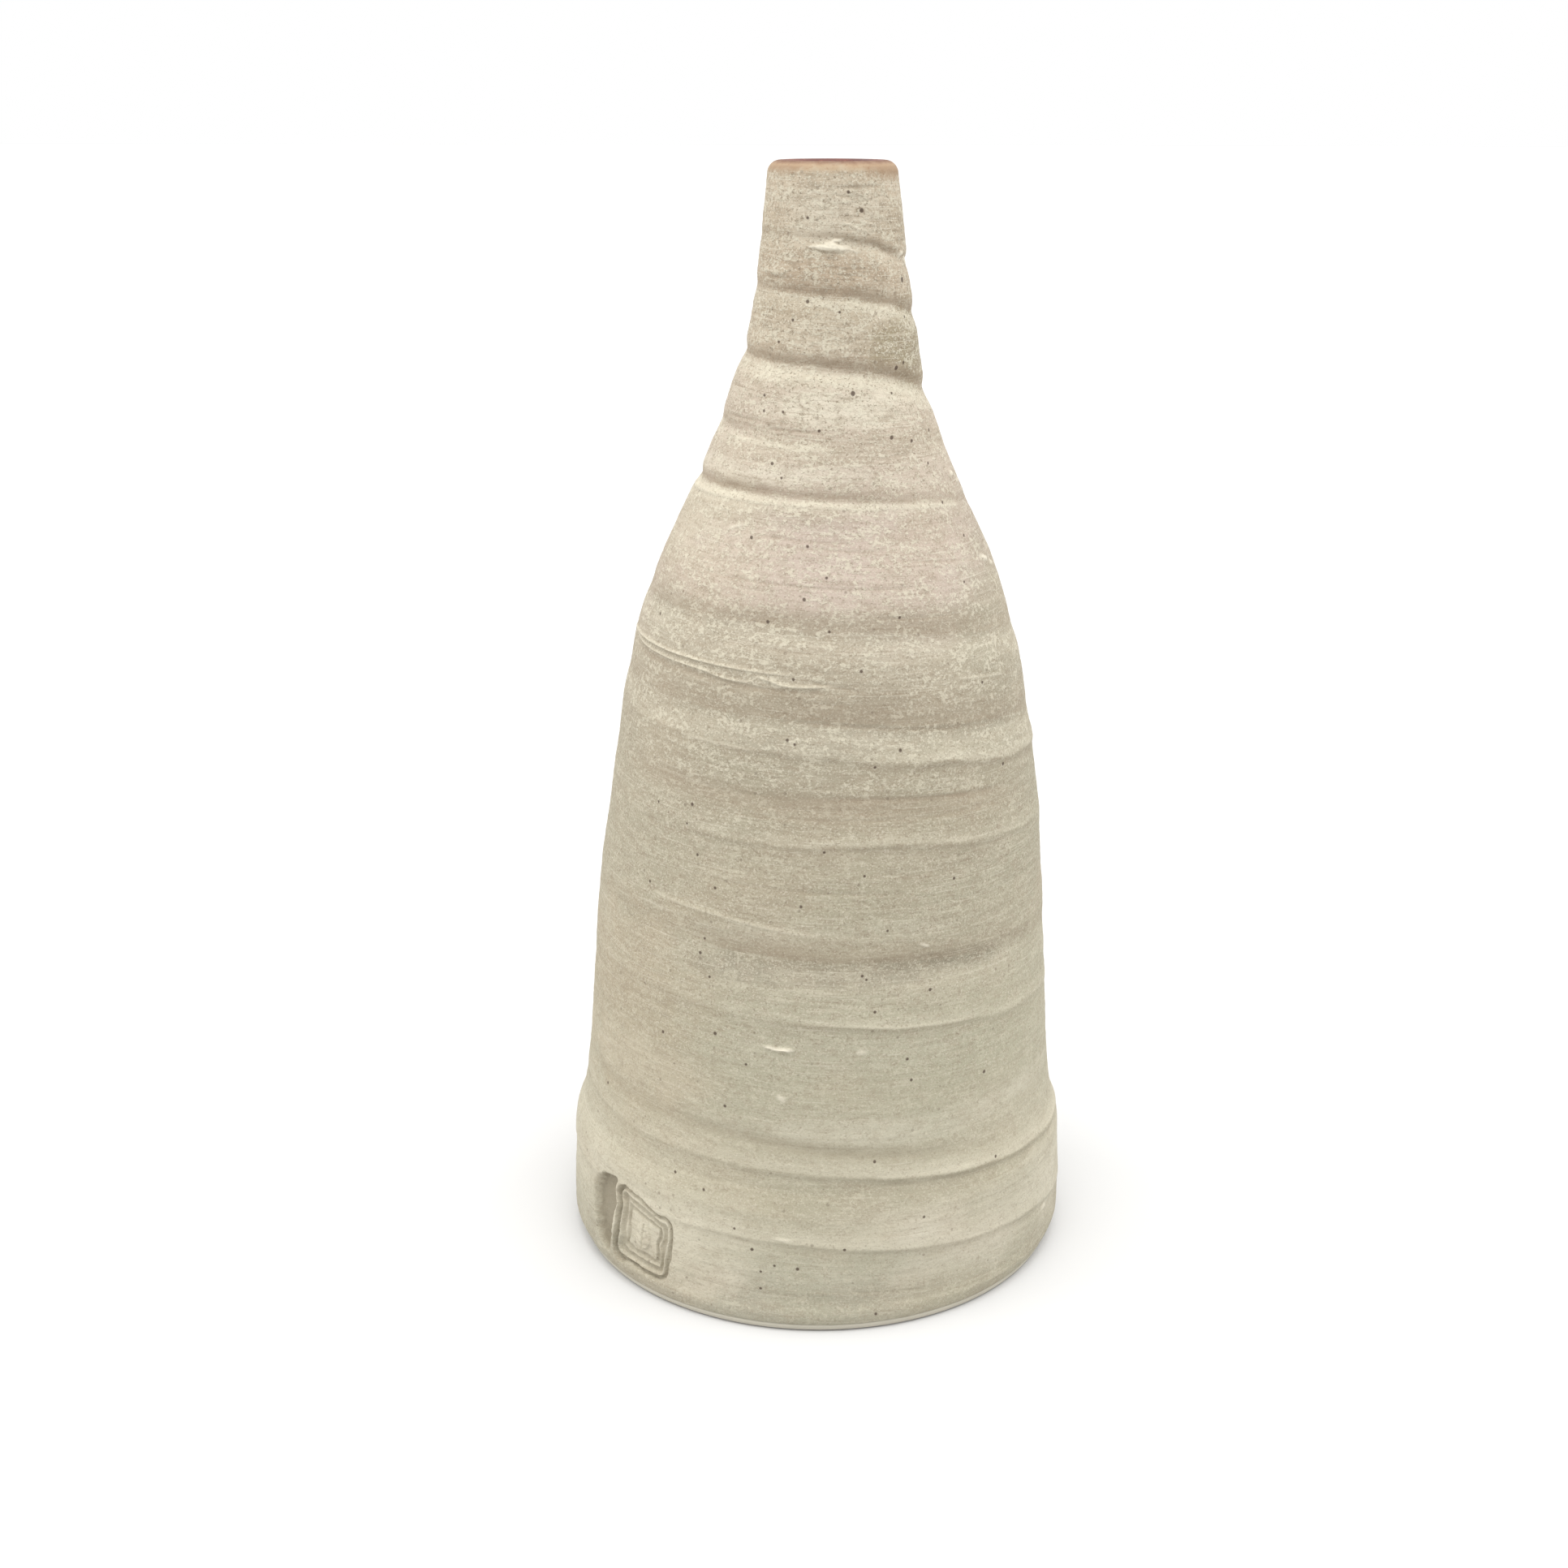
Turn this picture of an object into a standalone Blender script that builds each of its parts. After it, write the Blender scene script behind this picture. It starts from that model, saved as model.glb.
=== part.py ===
"""Wheel-thrown stoneware bottle vase.

The vase stands on the world origin with its axis on +Z. Its clay body is built in five thrown
sections, each seated on the one below by a stepped gallery, and it carries two glaze coats:
a matte coat over the outside, and a glossy liner inside that rolls over the inner half of the lip.
"""
import math

import bpy

MM = 0.001

# Driving dimensions, in millimetres.
HEIGHT = 220.0
WALL = 5.0
OUTER_GLAZE = 0.4
LINER_GLAZE = 0.5
GAP = 0.3
CLAY_WALL = WALL - OUTER_GLAZE - LINER_GLAZE - 2.0 * GAP

# The outline of the glazed outside: (height, radius) stations, joined by one smooth curve.
OUTLINE = (
    (0.0, 50.2),
    (4.5, 52.3),
    (24.0, 51.7),
    (30.0, 49.9),
    (42.0, 48.4),
    (75.0, 46.2),
    (104.0, 42.6),
    (128.0, 38.3),
    (142.0, 33.9),
    (160.0, 25.8),
    (180.0, 18.3),
    (200.0, 14.4),
    (217.5, 12.4),
)
LONGEST_SEGMENT = 18.0

# The lip is a half-round bead as thick as the whole wall.
LIP_ROUNDING = WALL / 2.0
LIP_CENTRE_HEIGHT = HEIGHT - LIP_ROUNDING
OUTER_GLAZE_TOP = LIP_CENTRE_HEIGHT - 0.1
LINER_ROLL_ANGLE = math.radians(100.0)

# The foot: a flat unglazed face with a small bevel, and the coat ends just above it.
FLOOR_THICKNESS = 8.0
FLOOR_FILLET = 6.0
FOOT_BEVEL = 0.8
OUTER_GLAZE_BOTTOM = 1.2

# Seams between the thrown sections, and the height of the tongue that locks each seam.
BASE_SEAM = 28.0
BELLY_SEAM = 132.0
SHOULDER_SEAM = 157.0
LIP_SEAM = 212.0
TONGUE_HEIGHT = 3.0

# The maker's seal: a rounded stamp pressed into the base wall, left of the front.
SEAL_ANGLE = math.radians(-47.0)
SEAL_WIDTH = 20.0
SEAL_HEIGHT = 14.5
SEAL_CENTRE_HEIGHT = 12.5
SEAL_DEPTH = 1.8
SEAL_ROUNDING = 1.6
STAMP_LENGTH = 12.0

ROUND_STEPS = 40
ARC_STEPS = 4
MERGE_DISTANCE = 0.00001

GLAZE_CREAM = (0.60, 0.53, 0.41)
GLAZE_MAROON = (0.10, 0.035, 0.03)
CLAY_BUFF = (0.47, 0.37, 0.26)
CLAY_TOASTED = (0.62, 0.36, 0.18)


def clear_scene():
    for scene_object in list(bpy.data.objects):
        bpy.data.objects.remove(scene_object, do_unlink=True)


def new_collection(name):
    collection = bpy.data.collections.new(name)
    bpy.context.scene.collection.children.link(collection)
    return collection


def new_material(name, colour, roughness):
    material = bpy.data.materials.new(name)
    material.use_nodes = True
    shader = material.node_tree.nodes["Principled BSDF"]
    shader.inputs["Base Color"].default_value = (*colour, 1.0)
    shader.inputs["Roughness"].default_value = roughness
    shader.inputs["Metallic"].default_value = 0.0
    material.diffuse_color = (*colour, 1.0)
    return material


# The outline curve.

def slope_between(lower, upper):
    return (upper[1] - lower[1]) / (upper[0] - lower[0])


def station_slope(index):
    """Slope of the outline at a station: a harmonic mean, so that the curve never overshoots."""
    last = len(OUTLINE) - 1
    if index == 0:
        return slope_between(OUTLINE[0], OUTLINE[1])
    if index == last:
        return slope_between(OUTLINE[last - 1], OUTLINE[last])
    below = slope_between(OUTLINE[index - 1], OUTLINE[index])
    above = slope_between(OUTLINE[index], OUTLINE[index + 1])
    if below * above <= 0.0:
        return 0.0
    return 2.0 * below * above / (below + above)


def outer_radius(height):
    """Radius of the glazed outside at a height."""
    index = 0
    while index < len(OUTLINE) - 2 and OUTLINE[index + 1][0] < height:
        index += 1
    (low, low_radius), (high, high_radius) = OUTLINE[index], OUTLINE[index + 1]
    span = high - low
    t = (height - low) / span
    low_share = (1.0 + 2.0 * t) * (1.0 - t) ** 2
    low_slope_share = t * (1.0 - t) ** 2 * span
    high_slope_share = -t * t * (1.0 - t) * span
    return (low_share * low_radius + (1.0 - low_share) * high_radius
            + low_slope_share * station_slope(index)
            + high_slope_share * station_slope(index + 1))


def clay_outside(height):
    return outer_radius(height) - OUTER_GLAZE - GAP


def clay_inside(height):
    return clay_outside(height) - CLAY_WALL


def clay_middle(height):
    return (clay_outside(height) + clay_inside(height)) / 2.0


def liner_outside(height):
    return clay_inside(height) - GAP


def liner_inside(height):
    return liner_outside(height) - LINER_GLAZE


def shared_levels():
    """Heights that every wall surface has points at, so that neighbouring walls run parallel."""
    levels = []
    for (low, _), (high, _) in zip(OUTLINE, OUTLINE[1:]):
        pieces = math.ceil((high - low) / LONGEST_SEGMENT)
        levels += [low + (high - low) * step / pieces for step in range(pieces)]
    return levels + [OUTLINE[-1][0]]


def wall_line(radius_at, start, end):
    """Points of a wall surface from one height to another, up or down."""
    low, high = sorted((start, end))
    heights = [low] + [z for z in shared_levels() if low + 1.0 < z < high - 1.0] + [high]
    if start > end:
        heights.reverse()
    return [(radius_at(z), z) for z in heights]


def arc(centre, radius, start, end, steps=ARC_STEPS):
    """Points of an arc about (radius, height), angles from +X towards +Z."""
    points = []
    for step in range(steps + 1):
        angle = start + (end - start) * step / steps
        points.append((centre[0] + radius * math.cos(angle), centre[1] + radius * math.sin(angle)))
    return points


# Ends of the sections.

def rim_gallery(seam):
    """Top of a lower section, from inside to outside: a raised tongue, then a ledge."""
    ledge = seam - GAP / 2.0
    crest = ledge + TONGUE_HEIGHT
    return [
        (clay_middle(crest) - GAP / 2.0, crest),
        (clay_middle(ledge) - GAP / 2.0, ledge),
    ]


def skirt(seam):
    """Bottom of an upper section, from outside to inside: a hem, then a notch for the tongue."""
    hem = seam + GAP / 2.0
    notch = hem + TONGUE_HEIGHT
    return [
        (clay_middle(hem) + GAP / 2.0, hem),
        (clay_middle(notch) + GAP / 2.0, notch),
    ]


def ledge_height(seam):
    return seam - GAP / 2.0


def tongue_height(seam):
    return seam - GAP / 2.0 + TONGUE_HEIGHT


def hem_height(seam):
    return seam + GAP / 2.0


def notch_height(seam):
    return seam + GAP / 2.0 + TONGUE_HEIGHT


# Turned solids.

def turned(name, profile, closed, material, collection):
    """Turn a profile of (radius, height) points about the vase's axis."""
    mesh = bpy.data.meshes.new(name)
    vertices = [(radius * MM, 0.0, height * MM) for radius, height in profile]
    edges = [(index, index + 1) for index in range(len(profile) - 1)]
    if closed:
        edges.append((len(profile) - 1, 0))
    mesh.from_pydata(vertices, edges, [])
    mesh.materials.append(material)
    piece = bpy.data.objects.new(name, mesh)
    collection.objects.link(piece)
    screw = piece.modifiers.new("Turn", "SCREW")
    screw.axis = "Z"
    screw.angle = 2.0 * math.pi
    screw.steps = ROUND_STEPS
    screw.render_steps = ROUND_STEPS
    screw.use_merge_vertices = True
    screw.merge_threshold = MERGE_DISTANCE
    screw.use_smooth_shade = True
    return piece


def thrown_section(name, lower_seam, upper_seam, material, collection):
    """A ring of wall between two seams."""
    profile = wall_line(clay_outside, ledge_height(upper_seam), hem_height(lower_seam))
    profile += skirt(lower_seam)
    profile += wall_line(clay_inside, notch_height(lower_seam), tongue_height(upper_seam))
    profile += rim_gallery(upper_seam)
    return turned(name, profile, True, material, collection)


def base_section(material, collection):
    """The floor with the low wall that carries the seal."""
    fillet_height = FLOOR_THICKNESS + FLOOR_FILLET
    fillet_centre = (clay_inside(fillet_height) - FLOOR_FILLET, fillet_height)
    profile = [(0.0, FLOOR_THICKNESS)]
    profile += arc(fillet_centre, FLOOR_FILLET, -math.pi / 2.0, 0.0)[:-1]
    profile += wall_line(clay_inside, fillet_height, tongue_height(BASE_SEAM))
    profile += rim_gallery(BASE_SEAM)
    profile += wall_line(clay_outside, ledge_height(BASE_SEAM), FOOT_BEVEL)
    profile.append((clay_outside(0.0) - FOOT_BEVEL, 0.0))
    profile.append((0.0, 0.0))
    return turned("base_section", profile, False, material, collection)


def lip_ring(material, collection):
    """The bare half-round lip, hollowed where the liner glaze rolls over it."""
    centre = (outer_radius(LIP_CENTRE_HEIGHT) - LIP_ROUNDING, LIP_CENTRE_HEIGHT)
    shoulder_height = OUTER_GLAZE_TOP + GAP
    shoulder_angle = math.asin((shoulder_height - LIP_CENTRE_HEIGHT) / LIP_ROUNDING)
    bead_edge_angle = LINER_ROLL_ANGLE - math.radians(7.0)
    covered_rounding = LIP_ROUNDING - LINER_GLAZE - GAP
    profile = arc(centre, LIP_ROUNDING, bead_edge_angle, shoulder_angle, 2 * ARC_STEPS)
    profile.append((clay_outside(shoulder_height), shoulder_height))
    profile.append((clay_outside(hem_height(LIP_SEAM)), hem_height(LIP_SEAM)))
    profile += skirt(LIP_SEAM)
    profile.append((clay_inside(notch_height(LIP_SEAM)), notch_height(LIP_SEAM)))
    profile += arc(centre, covered_rounding, math.pi, bead_edge_angle)
    return turned("lip_ring", profile, True, material, collection)


def outer_glaze(material, collection):
    """The matte coat over the outside, from just above the foot to the lip."""
    profile = wall_line(outer_radius, OUTER_GLAZE_TOP, OUTER_GLAZE_BOTTOM)
    profile += wall_line(lambda z: outer_radius(z) - OUTER_GLAZE, OUTER_GLAZE_BOTTOM,
                         OUTER_GLAZE_TOP)
    return turned("outer_glaze", profile, True, material, collection)


def liner_glaze(material, collection):
    """The coat inside, from the floor up the wall and over the inner half of the lip."""
    fillet_height = FLOOR_THICKNESS + FLOOR_FILLET
    fillet_centre = (clay_inside(fillet_height) - FLOOR_FILLET, fillet_height)
    lip_centre = (outer_radius(LIP_CENTRE_HEIGHT) - LIP_ROUNDING, LIP_CENTRE_HEIGHT)
    inner_fillet = arc(fillet_centre, FLOOR_FILLET - GAP - LINER_GLAZE, -math.pi / 2.0, 0.0)
    outer_fillet = arc(fillet_centre, FLOOR_FILLET - GAP, 0.0, -math.pi / 2.0)
    profile = [(0.0, FLOOR_THICKNESS + GAP + LINER_GLAZE)]
    profile += inner_fillet[:-1]
    profile += wall_line(liner_inside, fillet_height, LIP_CENTRE_HEIGHT)[:-1]
    profile += arc(lip_centre, LIP_ROUNDING, math.pi, LINER_ROLL_ANGLE)
    profile += arc(lip_centre, LIP_ROUNDING - LINER_GLAZE, LINER_ROLL_ANGLE, math.pi)
    profile += wall_line(liner_outside, LIP_CENTRE_HEIGHT, fillet_height)[1:]
    profile += outer_fillet[1:]
    profile.append((0.0, FLOOR_THICKNESS + GAP))
    return turned("liner_glaze", profile, False, material, collection)


def seal_stamp(collection):
    """The stamp: a rounded block lying on a radius of the vase, its end face SEAL_DEPTH deep."""
    face_distance = clay_outside(SEAL_CENTRE_HEIGHT) - SEAL_DEPTH
    centre_distance = face_distance + STAMP_LENGTH / 2.0
    front = -math.pi / 2.0
    direction = front + SEAL_ANGLE
    bpy.ops.mesh.primitive_cube_add(size=1.0)
    stamp = bpy.context.object
    stamp.name = "seal_stamp"
    stamp.data.transform(((STAMP_LENGTH * MM, 0, 0, 0), (0, SEAL_WIDTH * MM, 0, 0),
                          (0, 0, SEAL_HEIGHT * MM, 0), (0, 0, 0, 1)))
    stamp.location = (centre_distance * math.cos(direction) * MM,
                      centre_distance * math.sin(direction) * MM,
                      SEAL_CENTRE_HEIGHT * MM)
    stamp.rotation_euler = (0.0, 0.0, direction)
    rounding = stamp.modifiers.new("Rounding", "BEVEL")
    rounding.width = SEAL_ROUNDING * MM
    rounding.segments = 2
    for old_collection in list(stamp.users_collection):
        old_collection.objects.unlink(stamp)
    collection.objects.link(stamp)
    stamp.hide_render = True
    stamp.display_type = "WIRE"
    return stamp


def press(piece, stamp):
    cut = piece.modifiers.new("Seal", "BOOLEAN")
    cut.operation = "DIFFERENCE"
    cut.solver = "EXACT"
    cut.object = stamp


def build():
    clear_scene()
    vase = new_collection("stoneware_vase")
    cutters = new_collection("cutters")
    clay = new_material("clay_body", CLAY_BUFF, 0.9)
    toasted = new_material("toasted_clay", CLAY_TOASTED, 0.75)
    cream = new_material("matte_glaze", GLAZE_CREAM, 0.8)
    maroon = new_material("liner_glaze", GLAZE_MAROON, 0.3)

    base = base_section(clay, vase)
    thrown_section("belly_section", BASE_SEAM, BELLY_SEAM, clay, vase)
    thrown_section("shoulder_section", BELLY_SEAM, SHOULDER_SEAM, clay, vase)
    thrown_section("neck_section", SHOULDER_SEAM, LIP_SEAM, clay, vase)
    lip_ring(toasted, vase)
    coat = outer_glaze(cream, vase)
    liner_glaze(maroon, vase)

    stamp = seal_stamp(cutters)
    press(base, stamp)
    press(coat, stamp)


build()
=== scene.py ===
"""Looks of the stoneware bottle vase: its hand-thrown surface, glazes, floor, light and camera.

All lengths are in millimetres until a mesh is made. Angles around the vase are in degrees from the
front (-Y), growing towards +X. Every wall surface is one outside surface with a depth below it, so
the coat, the clay and the liner follow each other without touching.
"""
import math

import bpy
import numpy as np
from mathutils import Matrix, Vector


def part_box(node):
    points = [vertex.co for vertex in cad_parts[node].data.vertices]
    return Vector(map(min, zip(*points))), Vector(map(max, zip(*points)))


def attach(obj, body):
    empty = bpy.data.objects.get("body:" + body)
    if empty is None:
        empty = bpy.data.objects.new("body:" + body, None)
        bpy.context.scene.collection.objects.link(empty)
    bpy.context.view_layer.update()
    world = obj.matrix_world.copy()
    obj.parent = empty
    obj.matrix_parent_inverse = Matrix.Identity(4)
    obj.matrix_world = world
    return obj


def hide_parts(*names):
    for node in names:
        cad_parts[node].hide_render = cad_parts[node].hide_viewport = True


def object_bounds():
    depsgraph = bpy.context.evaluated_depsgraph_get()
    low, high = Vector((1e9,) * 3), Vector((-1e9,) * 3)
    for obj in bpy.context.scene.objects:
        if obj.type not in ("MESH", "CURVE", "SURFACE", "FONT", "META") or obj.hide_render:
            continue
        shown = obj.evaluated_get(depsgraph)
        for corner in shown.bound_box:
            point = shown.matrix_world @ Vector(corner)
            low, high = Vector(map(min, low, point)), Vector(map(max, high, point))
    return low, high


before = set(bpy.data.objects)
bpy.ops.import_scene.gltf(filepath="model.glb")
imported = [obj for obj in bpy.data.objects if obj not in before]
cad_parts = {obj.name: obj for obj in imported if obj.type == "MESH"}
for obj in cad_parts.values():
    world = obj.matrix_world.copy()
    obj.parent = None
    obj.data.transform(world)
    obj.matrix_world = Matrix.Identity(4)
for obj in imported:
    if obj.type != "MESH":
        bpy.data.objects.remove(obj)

cad_low, cad_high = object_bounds()

MM = 0.001

# Layers of the wall, from the outside in, and the clearance between two of them.
COAT = 0.4
GAP = 0.3
CLAY = 3.5
LINER = 0.5
WALL = COAT + CLAY + LINER + 2 * GAP
CLAY_TOP_DEPTH = COAT + GAP
CLAY_BACK_DEPTH = CLAY_TOP_DEPTH + CLAY
LINER_TOP_DEPTH = CLAY_BACK_DEPTH + GAP

# Heights that the frame gives.
HEIGHT = cad_high[2] / MM
BASE_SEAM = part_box("belly_section")[0].z / MM - GAP / 2
BELLY_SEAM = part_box("shoulder_section")[0].z / MM - GAP / 2
SHOULDER_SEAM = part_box("neck_section")[0].z / MM - GAP / 2
LIP_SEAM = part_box("lip_ring")[0].z / MM - GAP / 2
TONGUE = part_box("base_section")[1].z / MM - BASE_SEAM + GAP / 2
FLOOR_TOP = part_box("liner_glaze")[0].z / MM - GAP
FLOOR_FILLET = 6
LIP_ROUNDING = WALL / 2
LIP_CENTRE = HEIGHT - LIP_ROUNDING
NECK_BREAK = 180

# Where the pot's centre lies towards +X at each height: it leans, and its neck was set down askew.
CENTRE_LINE = (
    (0, 0), (30, 0.2), (60, 0.3), (80, 0.5), (100, 1.05), (130, 1.05), (160, 1.15), (177, 1.9),
    (190, 2.15), (202, 1.75), (220, 1.65),
)

# One finger groove spirals up the wall. Each pass around the pot has the widths of its upper and
# lower flanks, then its line across the front: (angle, height, depth). A negative depth is a crest.
PASSES = (
    (2, 2, ((-90, 4, 0), (0, 0, 0), (90, -5, 0))),
    (4, 0.7, ((-80, 20.8, -0.15), (-30, 19.8, -0.22), (-3, 19, -0.36), (5, 18, -0.38), (20, 16.6, -0.38),
        (40, 15.2, -0.36), (60, 13.8, -0.3), (80, 12, -0.22))),
    (3.6, 0.8, ((-75, 35.5, -0.1), (-30, 34, -0.2), (-5, 33, -0.3), (10, 31.9, -0.42), (20, 31, -0.5),
        (30, 30.2, -0.55), (45, 29, -0.55), (60, 28.3, -0.5), (80, 27, -0.4))),
    (3, 0.8, ((-75, 67, -0.08), (-30, 65, -0.12), (-8, 63.6, -0.25), (5, 63, -0.32), (15, 62.1, -0.35),
        (25, 61.3, -0.35), (38, 60.6, -0.33), (45, 59.6, -0.3), (60, 58.6, -0.22), (80, 57.2, -0.18))),
    (2.8, 4.6, ((-75, 78.8, 0.1), (-40, 77.4, 0.2), (-20, 76, 0.42), (0, 75.2, 0.46), (20, 74.3, 0.44),
        (35, 73.4, 0.34), (50, 72.4, 0.24), (80, 70.4, 0.18))),
    (2.4, 0.7, ((-75, 101.5, -0.05), (-40, 99.4, -0.1), (-25, 98.2, -0.22), (-5, 98, -0.26),
        (15, 97.8, -0.3), (30, 97, -0.32), (37, 96, -0.3), (50, 95.3, -0.26), (65, 94.6, -0.2),
        (80, 93.4, -0.16))),
    (3, 0.8, ((-60, 116.8, -0.1), (-35, 116.2, -0.15), (-10, 115, -0.18), (0, 114.4, -0.2),
        (10, 113.7, -0.26), (20, 113, -0.36), (35, 112, -0.42), (45, 110.8, -0.42), (60, 109.6, -0.38),
        (80, 108.3, -0.32))),
    (4, 3, ((-75, 122.8, 0.18), (-40, 121, 0.3), (-10, 120.4, 0.42), (5, 119.9, 0.48), (30, 118, 0.48),
        (50, 116.8, 0.42), (80, 114.6, 0.3))),
    (2.8, 3, ((-75, 138.2, 0.28), (-30, 137.6, 0.32), (0, 136.8, 0.34), (20, 135.8, 0.38),
        (40, 134.4, 0.4), (60, 133, 0.36), (80, 131.8, 0.32))),
    (1.4, 1.7, ((-80, 160.7, 0.7), (-50, 160.6, 0.7), (-30, 160.2, 0.62), (0, 159.6, 0.52),
        (20, 159, 0.42), (40, 158.3, 0.32), (60, 157.2, 0.24), (80, 156.2, 0.18))),
    (1.6, 2.4, ((-80, 171.4, 0.42), (-50, 171, 0.38), (-20, 170.3, 0.25), (0, 169.8, 0.15),
        (30, 169, 0.08), (60, 168, 0.08), (80, 167.4, 0.1))),
    (1.5, 2.6, ((-75, 184.5, 0.75), (-50, 183.9, 0.88), (-20, 183.3, 0.92), (0, 182.8, 0.95),
        (20, 182.1, 0.95), (35, 181.4, 0.95), (50, 180.2, 0.9), (60, 179.4, 0.85), (80, 178, 0.75))),
    (1.5, 2.2, ((-75, 197, 0.35), (-50, 196.8, 0.45), (-20, 196.3, 0.58), (0, 196, 0.66),
        (20, 195.3, 0.75), (40, 194.3, 0.78), (60, 193.2, 0.72), (80, 192.2, 0.65))),
    (0.8, 1.8, ((-75, 206.7, 0.12), (-45, 206.8, 0.22), (-20, 206.5, 0.26), (-6, 206.4, 0.42),
        (10, 206, 0.62), (25, 205.4, 0.72), (38, 204.7, 0.78), (46, 203.9, 0.62), (55, 203.4, 0.5),
        (80, 202, 0.45))),
    (1.2, 1.8, ((-90, 217, 0), (0, 215, 0), (90, 212, 0))),
)
SHADE_REACH = 2.3

# How the spiral wavers along the wall, as (size, pace): its line, its line at the back, its depth.
LINE_WAVES = ((0.1, 61), (0.06, 131))
BACK_WAVES = ((0.5, 14.5),)
DEPTH_WAVES = ((0.12, 47), (0.08, 113))

# Noises on the wall, each as (size, cells around the pot, cell height, seed): the soft waviness made
# by hand, brushed streaks and dry grain in the glaze, and wear at the edge of the seal.
UNEVENNESS = ((0.22, 3, 26, 11), (0.1, 9, 9, 12), (0.05, 20, 3.4, 13))
STREAKS = ((0.03, 17, 0.9, 21), (0.022, 41, 0.6, 22))
GRAIN = ((0.018, 230, 1, 23), (0.012, 420, 0.6, 24))
SEAL_WEAR = ((0.42, 150, 2.4, 33), (0.12, 330, 1.1, 34))

# How strongly the spiral's ledges and crests show pale, partly pale glaze and partly a painted highlight
# where they face up to the light; how dark its grooves and the bands under its crests are, partly pooled
# glaze and partly painted shade; and how dark the creases are, painted shade.
LEDGE_PALE_AND_HIGHLIGHT = 1.1
LEDGE_POOLING_AND_SHADE = 1.5
CREASE_SHADE = 3.4

# Short rims and creases: widths above and below the line, how much pale glaze it carries, which is partly a
# painted highlight on the rim, and its line: (angle, height, rise). A crease, of negative rise, is painted
# with shade.
LINES = (
    (0.9, 0.35, 1, ((-92, 159, 0.2), (-80, 159.1, 0.35), (-55, 159.2, 0.35), (-30, 159, 0.26),
        (0, 158.6, 0.2), (30, 158, 0.16), (55, 157.2, 0.14), (70, 156.4, 0))),
    (1.7, 1.4, 0, ((-90, 42.2, 0), (-70, 41.6, -0.1), (-40, 40.4, -0.16), (-25, 39.8, -0.2),
        (-10, 38.4, -0.25), (0, 37.4, -0.3), (10, 36.4, -0.28), (20, 35.6, -0.24), (30, 34.6, -0.16),
        (45, 33.2, 0))),
    (0.4, 0.3, 0.7, ((-48, 84.5, 0), (-40, 84, 0.14), (-27, 83.2, 0.18), (-18, 82.3, 0.18),
        (-8, 81.3, 0.16), (0, 80.5, 0))),
    (0.4, 0.7, 0, ((-12, 106.9, 0), (10, 106.6, -0.2), (25, 106, -0.25), (40, 105.2, -0.22),
        (56, 104.4, 0))),
    (2, 2.4, 0, ((-75, 109, 0), (-40, 107, -0.16), (-5, 105.6, -0.2), (30, 103.8, -0.16), (70, 102, 0))),
    (0.3, 0.3, 0, ((-84, 173.4, 0), (-70, 173.3, -0.13), (-50, 173.2, -0.12), (-25, 173, 0))),
    (0.6, 0.3, 0.8, ((-66, 169.9, 0), (-50, 169.4, 0.1), (-20, 168.7, 0.09), (14, 168.3, 0))),
    (0.2, 0.3, 0, ((-16, 204.5, 0), (-8, 204, -0.16), (0, 203.8, -0.18), (10, 203.7, 0))),
    (0.5, 0.6, 1, ((-28, 195.1, 0), (-12, 194.8, 0.08), (5, 194.6, 0.1), (20, 194.1, 0.12),
        (35, 193.4, 0.14), (50, 192.5, 0.12), (64, 191.8, 0))),
    (0.8, 0.8, 0.9, ((-64, 182.5, 0), (-45, 181.9, 0.06), (-20, 181.3, 0.08), (0, 180.7, 0.08),
        (20, 180, 0.08), (45, 179, 0.06), (62, 178.4, 0))),
    (0.25, 0.2, 0.6, ((-6, 63.7, 0), (5, 63.1, 0.1), (20, 61.9, 0.12), (34, 60.9, 0.12), (40, 60.5, 0))),
    (0.25, 0.25, 0, ((-33, 153.4, 0), (-22, 153.1, -0.13), (0, 152.5, -0.12), (14, 152.2, 0))),
    (0.25, 0.25, 0, ((-14, 151.6, 0), (-4, 151.4, -0.12), (10, 150.9, -0.11), (24, 150.6, 0))),
    (0.3, 0.3, 0, ((10, 139.4, 0), (25, 138.8, -0.11), (40, 138.2, -0.1), (54, 137.6, 0))),
    (0.25, 0.3, 0, ((-34, 134.3, 0), (-20, 133.9, -0.11), (-5, 133.2, -0.1), (8, 132.5, 0))),
    (0.34, 0.16, 0.9, ((-88, 130.6, 0.2), (-70, 130.7, 0.34), (-50, 130.4, 0.36), (-30, 129.9, 0.32),
        (-18, 129.5, 0.2), (-8, 129.3, 0))),
    (0.3, 0.16, 0.9, ((-80, 130.3, 0), (-68, 129.6, 0.32), (-50, 129.1, 0.32), (-38, 128.6, 0.3),
        (-31, 127.8, 0.3), (-24, 127.5, 0.12), (-20, 127.7, 0))),
    (0.36, 0.22, 1, ((-22, 128.9, 0), (-17, 128.2, 0.32), (-12, 127.4, 0.4), (-6, 127.3, 0.36),
        (0, 127.5, 0.1), (4, 127.7, 0))),
    (0.5, 0.6, 0, ((-84, 128.9, 0), (-60, 128.3, -0.2), (-40, 127.6, -0.2), (-15, 126.4, -0.16),
        (10, 126.3, 0))),
    (0.4, 0.4, 0, ((-7, 128.3, 0), (-2, 127.8, -0.16), (4, 127.1, -0.15), (9, 126.5, 0))),
    (0.3, 0.4, 0, ((-16, 121, 0), (0, 120.5, -0.17), (15, 119.4, -0.19), (30, 118.4, -0.17),
        (54, 116.9, 0))),
)
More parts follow.
